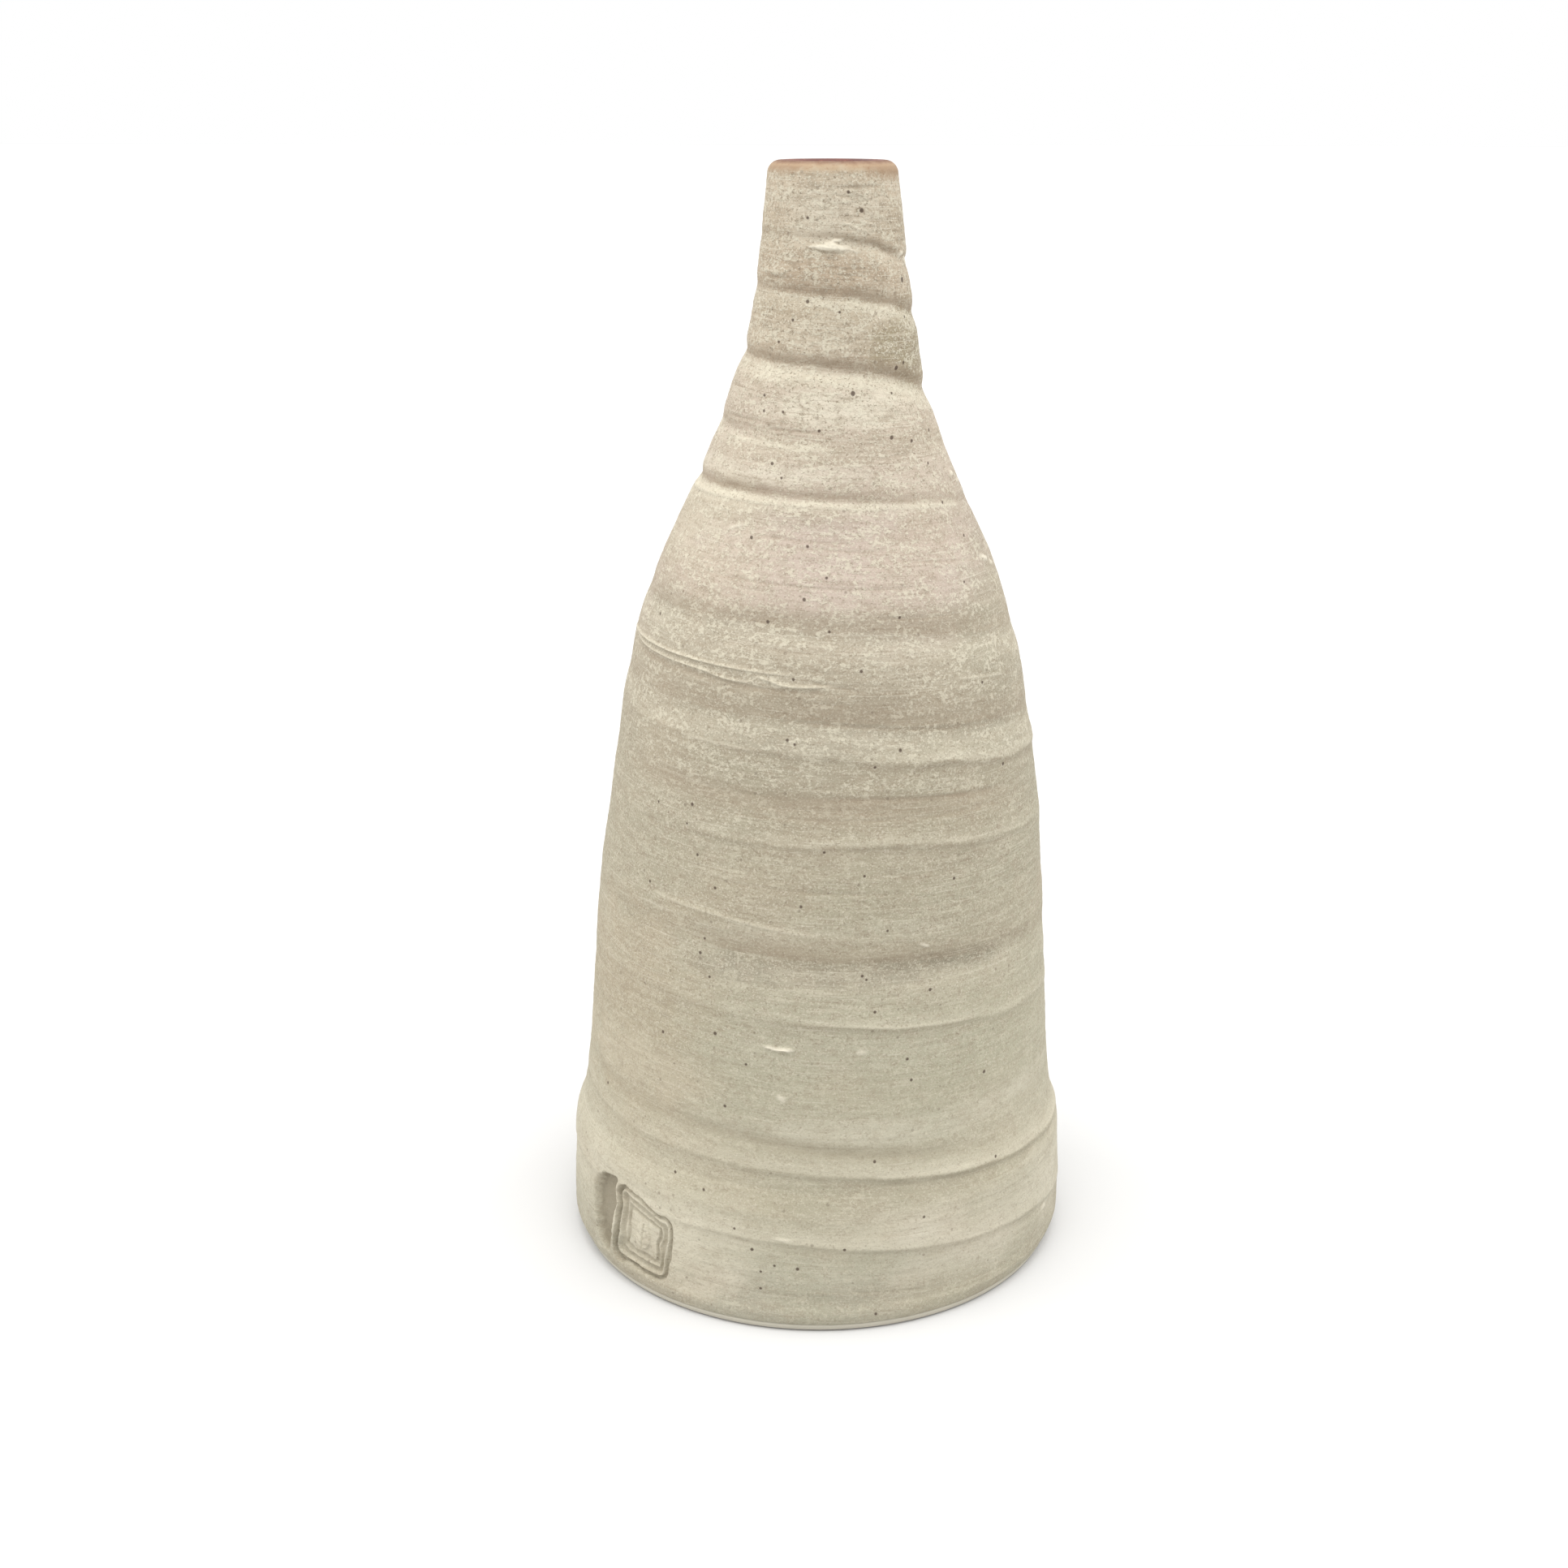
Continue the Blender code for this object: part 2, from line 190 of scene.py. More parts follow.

# Scratches and small rims of one rise, fading at both ends: widths above and below the line, pale
# glaze, partly a painted highlight on a rim, rise, and the line: (angle, height). A scratch, of negative
# rise, is painted with shade.
SCRATCHES = (
    (0.25, 0.25, 0, -0.15, ((-38, 171.9), (-30, 171.9), (-12, 171.7), (3, 171.6))),
    (0.9, 0.3, 0.4, 0.26, ((-66, 200.6), (-56, 200.2), (-44, 199.9), (-30, 200.6))),
    (0.3, 0.4, 0, -0.18, ((-2, 215.4), (12, 215.4), (34, 215.5), (48, 215.8))),
    (0.22, 0.22, 0, -0.12, ((-2, 214.2), (6, 213.9), (16, 213.7), (26, 213.6))),
    (0.25, 0.25, 0, -0.12, ((10, 212.6), (22, 212.8), (36, 213.4), (44, 214))),
    (0.25, 0.25, 0.7, 0.16, ((6, 209.4), (12, 208.8), (20, 208), (30, 207.6))),
    (0.22, 0.22, 0.6, 0.13, ((20, 209.8), (26, 209.2), (32, 208.8), (38, 208.7))),
    (0.22, 0.22, 0, -0.12, ((-10, 201.3), (0, 201.1), (20, 200.8), (34, 200.4))),
    (0.2, 0.2, 0, -0.1, ((-4, 199.9), (6, 199.8), (24, 199.4), (38, 199))),
    (0.3, 0.4, 0, -0.16, ((-64, 199.6), (-52, 199.2), (-38, 199.1), (-26, 199.6))),
    (0.25, 0.25, 0, -0.12, ((20, 149), (30, 148.6), (50, 147.4), (70, 146.6))),
    (0.25, 0.25, 0.8, 0.1, ((38, 127), (44, 126.5), (54, 125.7), (64, 125))),
    (0.3, 0.3, 0.9, 0.1, ((-44, 116.2), (-36, 115.9), (-26, 115.5), (-18, 115.1))),
    (0.25, 0.3, 0, -0.11, ((-54, 146), (-20, 145.2), (10, 144.4), (42, 144))),
    (0.3, 0.4, 0, -0.09, ((-8, 9.1), (5, 8.5), (18, 7.5), (30, 6.6))),
    (0.3, 0.4, 0, -0.09, ((-30, 103.4), (0, 102.8), (30, 102.2), (56, 101.8))),
    (0.3, 0.4, 0, -0.09, ((-44, 90.5), (-20, 89.7), (0, 89.1), (20, 88.4))),
)

# Crumbs and smears of clay that the glaze caught on: angle, height, half length, half height,
# rise, tilt in degrees, and how much pale slip shows.
CRUMBS = (
    (-9, 204.7, 2.2, 0.38, 0.42, -4, 1),
    (1, 204.9, 2.4, 0.62, 0.55, -3, 1),
    (2.5, 206, 1.2, 0.34, 0.38, 12, 0.9),
    (15, 204.2, 1.6, 0.3, 0.14, -10, 0.5),
    (66, 203.2, 1, 0.55, 0.42, 20, 0.9),
    (74, 201.9, 0.8, 0.6, 0.38, -30, 0.9),
    (73, 162, 0.9, 0.6, 0.32, 40, 0.9),
    (79, 160.3, 0.8, 0.45, 0.32, 20, 0.9),
    (71, 146.2, 1.6, 0.55, 0.26, -10, 0.9),
    (77, 144.6, 1, 0.6, 0.26, 0, 0.8),
    (-38, 154.4, 1.9, 0.35, 0.2, 22, 0.6),
    (-11.4, 58.2, 1.9, 0.36, 0.42, -3, 1),
    (-8.3, 58.1, 1.3, 0.42, 0.48, 6, 1),
    (-9.5, 48.1, 0.8, 0.6, 0.2, 0, 0.7),
    (24.5, 77.7, 1, 0.35, 0.22, -15, 0.8),
    (9, 57.6, 0.9, 0.6, 0.16, 30, 0.6),
    (-8, 19.8, 1.6, 0.4, 0.18, 0, 0.6),
    (64, 11.5, 1.6, 0.6, 0.18, 10, 0.6),
)

# The larger iron specks that show in front: angle, height, radius; and how softly they end.
SPECK_EDGE = 0.12
SPECKS = (
    (12, 214.6, 0.3), (23, 211.3, 0.42), (-21, 210, 0.28), (62, 198.5, 0.5), (-20, 195, 0.34),
    (3, 193.2, 0.24), (-30, 191.6, 0.28), (60, 191.7, 0.26), (-39, 187.5, 0.26), (50, 183.5, 0.32),
    (43, 182.7, 0.42), (11, 178.6, 0.44), (37, 178.2, 0.24), (-42, 177.8, 0.26), (-40, 175, 0.26),
    (-28, 175.1, 0.26), (-7, 172, 0.28), (32, 170.4, 0.38), (45, 169.4, 0.32), (63, 170.6, 0.3),
    (-28, 165.9, 0.32), (-22, 163.5, 0.24), (53, 165, 0.28), (55, 157.7, 0.28), (-30, 152.8, 0.32),
    (-8, 151.9, 0.28), (61, 151.2, 0.28), (-1, 146.6, 0.26), (-8, 142.8, 0.32), (51, 143.5, 0.26),
    (22, 139.2, 0.26), (-19, 138.5, 0.34), (0, 137.2, 0.26), (-64, 136, 0.28), (9, 130.2, 0.3),
    (-10, 128.7, 0.28), (49, 125, 0.3), (-11, 117.6, 0.3), (-9, 116.9, 0.24), (19, 115.4, 0.32),
    (12, 112.6, 0.26), (54, 108.5, 0.36), (-37, 103.2, 0.34), (-49, 101.8, 0.26), (-38, 99.4, 0.24),
    (-1, 97, 0.26), (-34, 93.9, 0.28), (9, 92.3, 0.26), (33, 89.6, 0.3), (-28, 88.3, 0.28),
    (-49, 85.9, 0.28), (-6, 86.5, 0.28), (15, 81.4, 0.24), (-30, 78, 0.24), (-31, 75, 0.32),
    (9, 72.8, 0.28), (10, 72, 0.24), (-28, 70.7, 0.26), (26, 68.5, 0.32), (12, 65.6, 0.3),
    (-26, 59.5, 0.36), (-41, 56.8, 0.32), (20, 55.2, 0.3), (-18, 54.3, 0.26), (21, 50.8, 0.3),
    (42, 48.3, 0.36), (-23, 45, 0.32), (-63, 39.2, 0.3), (12, 35, 0.3), (44, 30, 0.3), (-35, 29, 0.3),
    (-27, 27.3, 0.28), (23, 22.7, 0.28), (-19, 21, 0.26), (5, 18, 0.3), (-15, 17, 0.34), (-5, 13.6, 0.34),
    (-10, 14, 0.26), (-13, 12.4, 0.26), (-13, 8.7, 0.28), (12, 3.6, 0.3),
)

# How far the heavy foot spread as it was set down, how high that reaches, and which way it went.
FOOT_SPREAD = 2
FOOT_SPREAD_TOP = 7
FOOT_SPREAD_ANGLE = -4
FOOT_ROUNDING = 1

# How far the break at the neck slants across the pot, and how far from it that fades.
NECK_SLANT = 2.6
NECK_SLANT_REACH = 11

# The pressed seal: a plain leaf in a rounded frame, with a deeper gouge at its left.
SEAL_ANGLE = -43.6
SEAL_SIDES = (SEAL_ANGLE - 16, SEAL_ANGLE + 12)
SEAL_HEIGHT = 12.7
SEAL_HALF_WIDTH = 8.4
SEAL_HALF_HEIGHT = 8
SEAL_TAPER = 0.017
SEAL_CORNER = 2.7
SEAL_TILT = -7
SEAL_DEPTH = 1.15
SEAL_SLOPE = 0.03
FRAME_RIDGES = ((1.35, 0.42, 0.95), (3.15, 0.36, 0.55))
PANEL_EDGE = 4.1
PANEL_RISE = 0.55
GOUGE_EDGE = 8.7
GOUGE_SLANT = 0.05
GOUGE_REACH = 8.8
GOUGE_HALF_HEIGHT = 9.2
GOUGE_DEPTH = 2.1
GOUGE_DROP = 0.2
LEAF_HALF_WIDTH = 2.1
LEAF_HALF_HEIGHT = 2.9
LEAF_RISE = 0.38
VEIN_DEPTH = 0.16
VEIN_SPACING = 1.6
VEIN_SLANT = 0.7
VEIN_HALF_WIDTH = 0.2
MIDRIB_DEPTH = 0.3
MIDRIB_HALF_WIDTH = 0.24

# The glaze's ground colour at each height: warm on the neck, pinkish on the shoulder, greyer below, and a
# little lighter again at the very foot, painted light against the shade there.
GLAZE_ZONES = (
    (0, (188, 183, 164)), (5.5, (180, 174, 155)), (11, (201, 196, 176)), (17, (216, 209, 188)),
    (22, (210, 203, 182)), (32, (195, 188, 166)), (50, (190, 184, 161)), (84, (179, 171, 149)),
    (112, (177, 168, 147)), (132, (185, 175, 155)), (146, (201, 185, 170)), (157, (185, 170, 154)),
    (165, (207, 192, 175)), (180, (204, 189, 171)), (190, (198, 183, 161)), (216, (207, 191, 168)),
)

# Broad patches of lighter or darker tone; the dark one along the groove near 74 mm is painted shade:
# across, height, half width, half height, amount and sRGB levels.
PATCHES = (
    (0, 200.5, 22, 4, 0.52, (182, 159, 134)),
    (18, 187, 9, 8, 0.92, (155, 143, 114)),
    (0, 193.5, 22, 2, 0.65, (170, 154, 130)),
    (-16, 208, 8, 5, 0.72, (174, 159, 134)),
    (17, 208.5, 8, 5, 0.6, (173, 158, 134)),
    (1, 210.5, 9, 6, 0.76, (228, 218, 198)),
    (-1, 189, 9, 3.5, 0.45, (222, 211, 189)),
    (21, 181, 8, 5, 0.88, (160, 148, 123)),
    (5, 175.5, 14, 3, 0.85, (236, 227, 207)),
    (3, 168.3, 30, 2.6, 0.5, (180, 166, 146)),
    (-14, 163.8, 22, 1.9, 0.44, (238, 231, 212)),
    (-22, 154, 12, 9, 0.35, (226, 219, 192)),
    (4, 147, 26, 10, 0.54, (216, 198, 187)),
    (0, 137.5, 44, 3.2, 0.62, (166, 158, 138)),
    (-36, 146, 9, 6, 0.35, (180, 170, 146)),
    (37, 147, 9, 8, 0.46, (174, 164, 146)),
    (41, 118, 14, 38, 0.55, (170, 164, 142)),
    (-42, 133, 9, 7, 0.4, (178, 168, 146)),
    (0, 122.5, 44, 4, 0.45, (172, 162, 142)),
    (8, 117, 30, 2.4, 0.66, (160, 151, 133)),
    (4, 104, 30, 6, 0.35, (174, 164, 142)),
    (2, 80.8, 22, 2.2, 0.38, (216, 209, 190)),
    # Painted shade along the groove near 74 mm.
    (4, 73.3, 34, 2.8, 0.92, (139, 131, 112)),
    (-36, 59, 14, 22, 0.64, (183, 168, 143)),
    (18, 54, 28, 14, 0.45, (190, 186, 162)),
    (4, 57.5, 22, 3.6, 0.4, (214, 208, 187)),
    (14, 41, 32, 3, 0.46, (224, 218, 198)),
    (-34, 48, 12, 6, 0.45, (216, 206, 182)),
    (14, 28, 34, 2.8, 0.65, (166, 158, 136)),
    (0, 25, 12, 4, 0.4, (182, 172, 150)),
    (-27, 14.5, 15, 8, 0.8, (234, 226, 205)),
    (30, 15.5, 20, 8, 0.72, (226, 219, 200)),
    (2, 15, 22, 3, 0.4, (182, 179, 156)),
)

# The lip's colour from its shoulder to its crest; the pale band just under the crest, where the lip turns
# up to the light, is partly a painted highlight.
CREST_COLOURS_AND_HIGHLIGHT = (
    (218.8, (186, 158, 127)), (219.4, (198, 167, 134)), (219.75, (246, 214, 178)),
    (219.92, (226, 184, 148)), (220, (122, 82, 66)),
)


# Curves and noise.

def smoothstep(low, high, value):
    t = np.clip((value - low) / (high - low), 0, 1)
    return t * t * (3 - 2 * t)


def monotone_curve(points):
    """A smooth curve through (x, y) points that never overshoots, straight past its ends."""
    xs, ys = (np.array(column, float) for column in zip(*points))
    steps = np.diff(ys) / np.diff(xs)
    slopes = np.empty_like(ys)
    slopes[0], slopes[-1] = steps[0], steps[-1]
    same_way = steps[:-1] * steps[1:] > 0
    total = np.where(same_way, steps[:-1] + steps[1:], 1)
    slopes[1:-1] = np.where(same_way, 2 * steps[:-1] * steps[1:] / total, 0)

    def curve(x):
        inside = np.clip(x, xs[0], xs[-1])
        index = np.clip(np.searchsorted(xs, inside) - 1, 0, len(xs) - 2)
        span = xs[index + 1] - xs[index]
        t = (inside - xs[index]) / span
        low_share = (1 + 2 * t) * (1 - t) ** 2
        y = (low_share * ys[index] + (1 - low_share) * ys[index + 1]
             + t * (1 - t) ** 2 * span * slopes[index]
             - t * t * (1 - t) * span * slopes[index + 1])
        return y + np.where(x < xs[0], (x - xs[0]) * slopes[0], 0) \
            + np.where(x > xs[-1], (x - xs[-1]) * slopes[-1], 0)

    return curve


def wall_noise(angle, height, cells_around, cell_height, seed):
    """Smooth noise from -1 to 1 on the wall, seamless around it."""
    rows = int(HEIGHT / cell_height) + 4
    lattice = np.random.default_rng(seed).uniform(-1, 1, (rows, cells_around))
    across = (angle / 360 % 1) * cells_around
    up = np.clip(height / cell_height + 1, 0, rows - 1.001)
    column, below = np.floor(across).astype(int), np.floor(up).astype(int)
    u, v = smoothstep(0, 1, across - column), smoothstep(0, 1, up - below)
    column, right = column % cells_around, (column + 1) % cells_around
    lower = lattice[below, column] * (1 - u) + lattice[below, right] * u
    upper = lattice[below + 1, column] * (1 - u) + lattice[below + 1, right] * u
    return lower * (1 - v) + upper * v


# The outside surface.

def no_relief(angle, height, count):
    """So many arrays of zeros, with a value for each point of the rows."""
    return np.zeros((count,) + np.broadcast_shapes(angle.shape, height.shape))


def noises(angle, height, grains):
    """The sum of several noises: size, cells around, cell height and seed."""
    return sum(size * wall_noise(angle, height, around, tall, seed) for size, around, tall, seed in grains)


# A level of the CAD coat with points in this many directions is a whole ring.
WHOLE_RING = 30


def outline_from_cad():
    """(height, radius) of the coat at each level where the CAD solid has a whole ring of points."""
    points = np.array([v.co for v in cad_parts["outer_glaze"].data.vertices]) / MM
    radii = np.hypot(points[:, 0], points[:, 1])
    turns = np.round(np.degrees(np.arctan2(points[:, 1], points[:, 0])))
    heights = np.round(points[:, 2], 1)
    rings = []
    for height in np.unique(heights):
        level = heights == height
        if len(np.unique(turns[level])) >= WHOLE_RING:
            rings.append((points[level, 2].mean(), radii[level].max()))
    return rings


outline = monotone_curve(outline_from_cad())
axis_shift = monotone_curve(CENTRE_LINE)


def spiral_controls(column):
    """Values along the spiral, in turns: a pass runs from its right end to its left end."""
    return [(turn - point[0] / 360, point[column])
            for turn, entry in enumerate(PASSES) for point in reversed(entry[2])]


spiral_height = monotone_curve(spiral_controls(1))
spiral_depth = monotone_curve(spiral_controls(2))
spiral_above = monotone_curve([(turn, entry[0]) for turn, entry in enumerate(PASSES)])
spiral_below = monotone_curve([(turn, entry[1]) for turn, entry in enumerate(PASSES)])


def rows_between(height, low, high):
    return (height[:, 0] > low) & (height[:, 0] < high)


def flanks(offset, above, below):
    """1 on a line, falling to 0 across its upper and lower flanks."""
    return np.exp(-(offset / np.where(offset > 0, above, below)) ** 2)


def waves(along, sizes):
    """The sum of several waves along the spiral: (size, pace)."""
    return sum(size * np.sin(pace * along) for size, pace in sizes)


def spiral_relief(angle, height):
    """(rise, pale, dark, sunk) of the spiral: the pale is partly a painted highlight on the ledges and
    crests, the dark partly painted shade on the grooves' upper flanks and under the crests, partly pooled
    glaze; sunk is the smooth groove of the layers below.
    """
    rise, pale, pooling_and_shade, sunk = no_relief(angle, height, 4)
    unseen = smoothstep(75, 120, np.abs(angle))
    for turn in range(len(PASSES)):
        along = turn - angle / 360
        line = spiral_height(along) + unseen * waves(along, BACK_WAVES) + waves(along, LINE_WAVES)
        near = rows_between(height, line.min() - 10, line.max() + 10)
        depth = spiral_depth(along) * (1 + waves(along, DEPTH_WAVES))
        above, below = spiral_above(along), spiral_below(along)
        offset = height[near] - line
        rise[near] -= depth * flanks(offset, above, below)
        groove, crest = np.maximum(depth, 0), np.maximum(-depth, 0)
        sunk[near] += groove * flanks(offset, 1.3 * above + 0.5, 1.3 * below + 0.5)
        # Painted shade on each groove's upper flank, which faces down, partly glaze pooled in the groove,
        # and in a band under each crest.
        pooling_and_shade[near] += groove * flanks(offset - 0.3 * above, 1.2 * above, 0.4)
        pooling_and_shade[near] += 0.55 * crest * flanks(offset, 0.3, SHADE_REACH) * smoothstep(0.3, -0.3, offset)
        # Pale on the ledge under each groove, which faces up to the light, and on top of each crest: partly
        # pale glaze, partly a painted highlight.
        pale[near] += 0.75 * groove * flanks(offset + 0.5 * below, 0.35 * below, below)
        pale[near] += 1.3 * crest * flanks(offset - 0.4, 0.5 * above, 0.3)
    return rise, pale, pooling_and_shade, sunk


def full_line(scratch):
    """A scratch written out like the other lines, with no rise at its two ends."""
    above, below, glaze, size, points = scratch
    sizes = [0] + [size] * (len(points) - 2) + [0]
    return above, below, glaze, [(angle, height, rise) for (angle, height), rise in zip(points, sizes)]


def line_relief(angle, height):
    """(rise, pale, dark) of the short rims, creases and scratches: pale glaze on the rims, partly a painted
    highlight, and painted shade in the creases.
    """
    rise, pale, pooling_and_shade = no_relief(angle, height, 3)
    for above, below, glaze, points in LINES + tuple(map(full_line, SCRATCHES)):
        angles, heights, sizes = zip(*points)
        near = rows_between(height, min(heights) - 5, max(heights) + 5)
        inside = (angle >= angles[0]) & (angle <= angles[-1])
        line = monotone_curve(list(zip(angles, heights)))(angle)
        size = np.where(inside, monotone_curve(list(zip(angles, sizes)))(angle), 0)
        shape = flanks(height[near] - line, above, below)
        rise[near] += size * shape
        # Pale on the rims, partly pale glaze and partly a painted highlight; painted shade in the creases.
        pale[near] += glaze * shape * smoothstep(0, 0.08, size)
        pooling_and_shade[near] += CREASE_SHADE * np.maximum(-size, 0) * shape
    return rise, pale, pooling_and_shade


def crumb_relief(angle, height):
    """(rise, slip) of the crumbs and smears."""
    rise, slip = no_relief(angle, height, 2)
    for centre, level, half_length, half_height, size, tilt, pale in CRUMBS:
        near = rows_between(height, level - 4, level + 4)
        across = np.radians(angle - centre) * outline(level)
        up = height[near] - level
        turn = math.radians(tilt)
        u = across * math.cos(turn) + up * math.sin(turn)
        v = up * math.cos(turn) - across * math.sin(turn) + 0.3 * half_height * np.sin(3 * u / half_length)
        cells = int(2 * math.pi * outline(level) / 0.7)
        ragged = wall_noise(angle, height[near], cells, 0.55, 31)
        edge = (u / half_length) ** 2 + (v / half_height) ** 2 + 0.35 * ragged
        shape = np.exp(-np.clip(edge, 0, 3) ** 2)
        rise[near] += size * shape * (1 + 0.3 * ragged)
        slip[near] += pale * shape
    return rise, slip


def rounded_box(u, v, half_width, half_height, corner):
    """Distance outside a rounded rectangle, negative inside it."""
    du = np.abs(u) - half_width + corner
    dv = np.abs(v) - half_height + corner
    outside = np.hypot(np.maximum(du, 0), np.maximum(dv, 0))
    return outside + np.minimum(np.maximum(du, dv), 0) - corner


def leaf_relief(u, v):
    """A leaf with an outline, a midrib and side veins, standing on the seal's inner panel."""
    half = LEAF_HALF_WIDTH * np.sqrt(np.clip(1 - (v / LEAF_HALF_HEIGHT) ** 2, 0, 1)) * (1 - 0.06 * v)
    from_edge = np.abs(u) - half
    blade = smoothstep(0.2, -0.2, from_edge)
    from_vein = (v - VEIN_SLANT * np.abs(u)) % VEIN_SPACING - VEIN_SPACING / 2
    vein = np.exp(-(from_vein / VEIN_HALF_WIDTH) ** 2) * smoothstep(-0.1, -0.4, from_edge)
    midrib = np.exp(-(u / MIDRIB_HALF_WIDTH) ** 2) * smoothstep(4.4, 3.8, np.abs(v))
    return LEAF_RISE * blade - VEIN_DEPTH * vein - MIDRIB_DEPTH * midrib * blade


def seal_place(angle, height):
    """(u, v, edge, out, bowl): place on the tilted seal, distance beyond its edge, place in its gouge."""
    across = np.radians(angle - SEAL_ANGLE) * outline(SEAL_HEIGHT)
    up = height - SEAL_HEIGHT
    tilt = math.radians(SEAL_TILT)
    u = across * math.cos(tilt) + up * math.sin(tilt)
    v = up * math.cos(tilt) - across * math.sin(tilt)
    tapered = v / (1 - SEAL_TAPER * np.clip(u, -12, 12))
    edge = rounded_box(u, tapered, SEAL_HALF_WIDTH, SEAL_HALF_HEIGHT, SEAL_CORNER)
    out = (-GOUGE_EDGE + GOUGE_SLANT * (v - GOUGE_HALF_HEIGHT) - u) / GOUGE_REACH
    return u, v, edge, out, 1 - ((v + GOUGE_DROP) / GOUGE_HALF_HEIGHT) ** 2


def seal_recess(angle, height):
    """Depth of the plain recess behind the seal and its gouge, a little wider than both."""
    u, _, edge, out, bowl = seal_place(angle, height)
    bowl = bowl - np.maximum(out, 0) ** 2
    floor = SEAL_DEPTH * (1 - SEAL_SLOPE * np.clip(u, -SEAL_HALF_WIDTH, SEAL_HALF_WIDTH))
    panel = floor * smoothstep(3.8, 0.75, edge)
    gouge = GOUGE_DEPTH * smoothstep(-0.95, -0.2, bowl) * smoothstep(-0.48, -0.11, out)
    return np.maximum(panel, gouge) * smoothstep(1.5, 4, height)


def seal_relief(angle, height):
    """(depth, shade) of the pressed seal, with its frame and leaf standing up from its floor; the shade is
    painted into its grooves and, deeper, into its gouge, where it is partly pooled glaze.
    """
    u, v, edge, out, bowl = seal_place(angle, height)
    worn = noises(angle, height, SEAL_WEAR)
    edge = edge + worn
    inside = smoothstep(0.1, -0.22, edge)
    raised = PANEL_RISE * smoothstep(-PANEL_EDGE, -PANEL_EDGE - 0.3, edge)
    for inset, width, rise in FRAME_RIDGES:
        raised = np.maximum(raised, rise * np.exp(-((edge + inset) / width) ** 2))
    raised = raised + leaf_relief(u, v) * smoothstep(-PANEL_EDGE, -PANEL_EDGE - 0.4, edge)
    floor = SEAL_DEPTH * (1 - SEAL_SLOPE * u)
    depth = inside * np.maximum(floor - raised, 0.05)
    groove = inside * (1 - np.clip(1.5 * raised, 0, 1))

    out = out + 1.6 * worn / GOUGE_REACH
    bowl = bowl - np.maximum(out, 0) ** 2
    gouge = smoothstep(0, 0.22, bowl) * smoothstep(-0.02, 0.07, out)
    depth = np.maximum(depth, GOUGE_DEPTH * gouge * (1 - 0.25 * np.clip(out, 0, 1)))
    foot_fade = smoothstep(-1, 3, height)
    # Painted shade in the seal's grooves and, deeper, in its gouge, partly glaze pooled there.
    shadow = np.clip(0.62 * groove + 2.2 * gouge, 0, 1.35)
    return depth * foot_fade, shadow * foot_fade


def skin_relief(angle, height):
    """Brushed streaks and dry grain in the glaze, too fine to reach the clay below."""
    drawn = height + 2 * np.sin(np.radians(angle))
    return noises(angle, drawn, STREAKS) + noises(angle, height, GRAIN)


def body_radius(angle, height, rise):
    """Radius of the thrown wall, with the rise of its spiral."""
    slant = NECK_SLANT * np.exp(-((height - NECK_BREAK) / NECK_SLANT_REACH) ** 2)
    warped = height + slant * np.sin(np.radians(angle))
    fade = smoothstep(HEIGHT, HEIGHT - 8, height) * smoothstep(-1, 3, height)
    facing = np.maximum(np.cos(np.radians(angle - FOOT_SPREAD_ANGLE)), 0) ** 2
    foot = FOOT_SPREAD * facing * smoothstep(FOOT_SPREAD_TOP, 0, height)
    return outline(warped) + foot + fade * (rise + noises(angle, height, UNEVENNESS))


# Meshes: every piece is a loop of rows turned around the pot.

def row(height, depth, outline_height=None, skin=False, back=False, trueness=0):
    """One row of points around the pot, at a depth below the outside at outline_height.

    Only a skin row shows the fine detail, and the back of the wall doesn't show the seal. trueness
    goes from 0, the hand-thrown shape, to 1, a perfect circle.
    """
    return height, depth, height if outline_height is None else outline_height, skin, back, trueness


SHARP_ANGLE = 60


def even_angles(count):
    return -180 + 360 * np.arange(count) / count


def angles_closer_at_seal(coarse, fine):
    low, high = SEAL_SIDES
    seal = low + (high - low) * np.arange(fine) / fine
    rest = high + (360 - high + low) * np.arange(coarse) / coarse
    return np.sort((np.concatenate([seal, rest]) + 180) % 360 - 180)


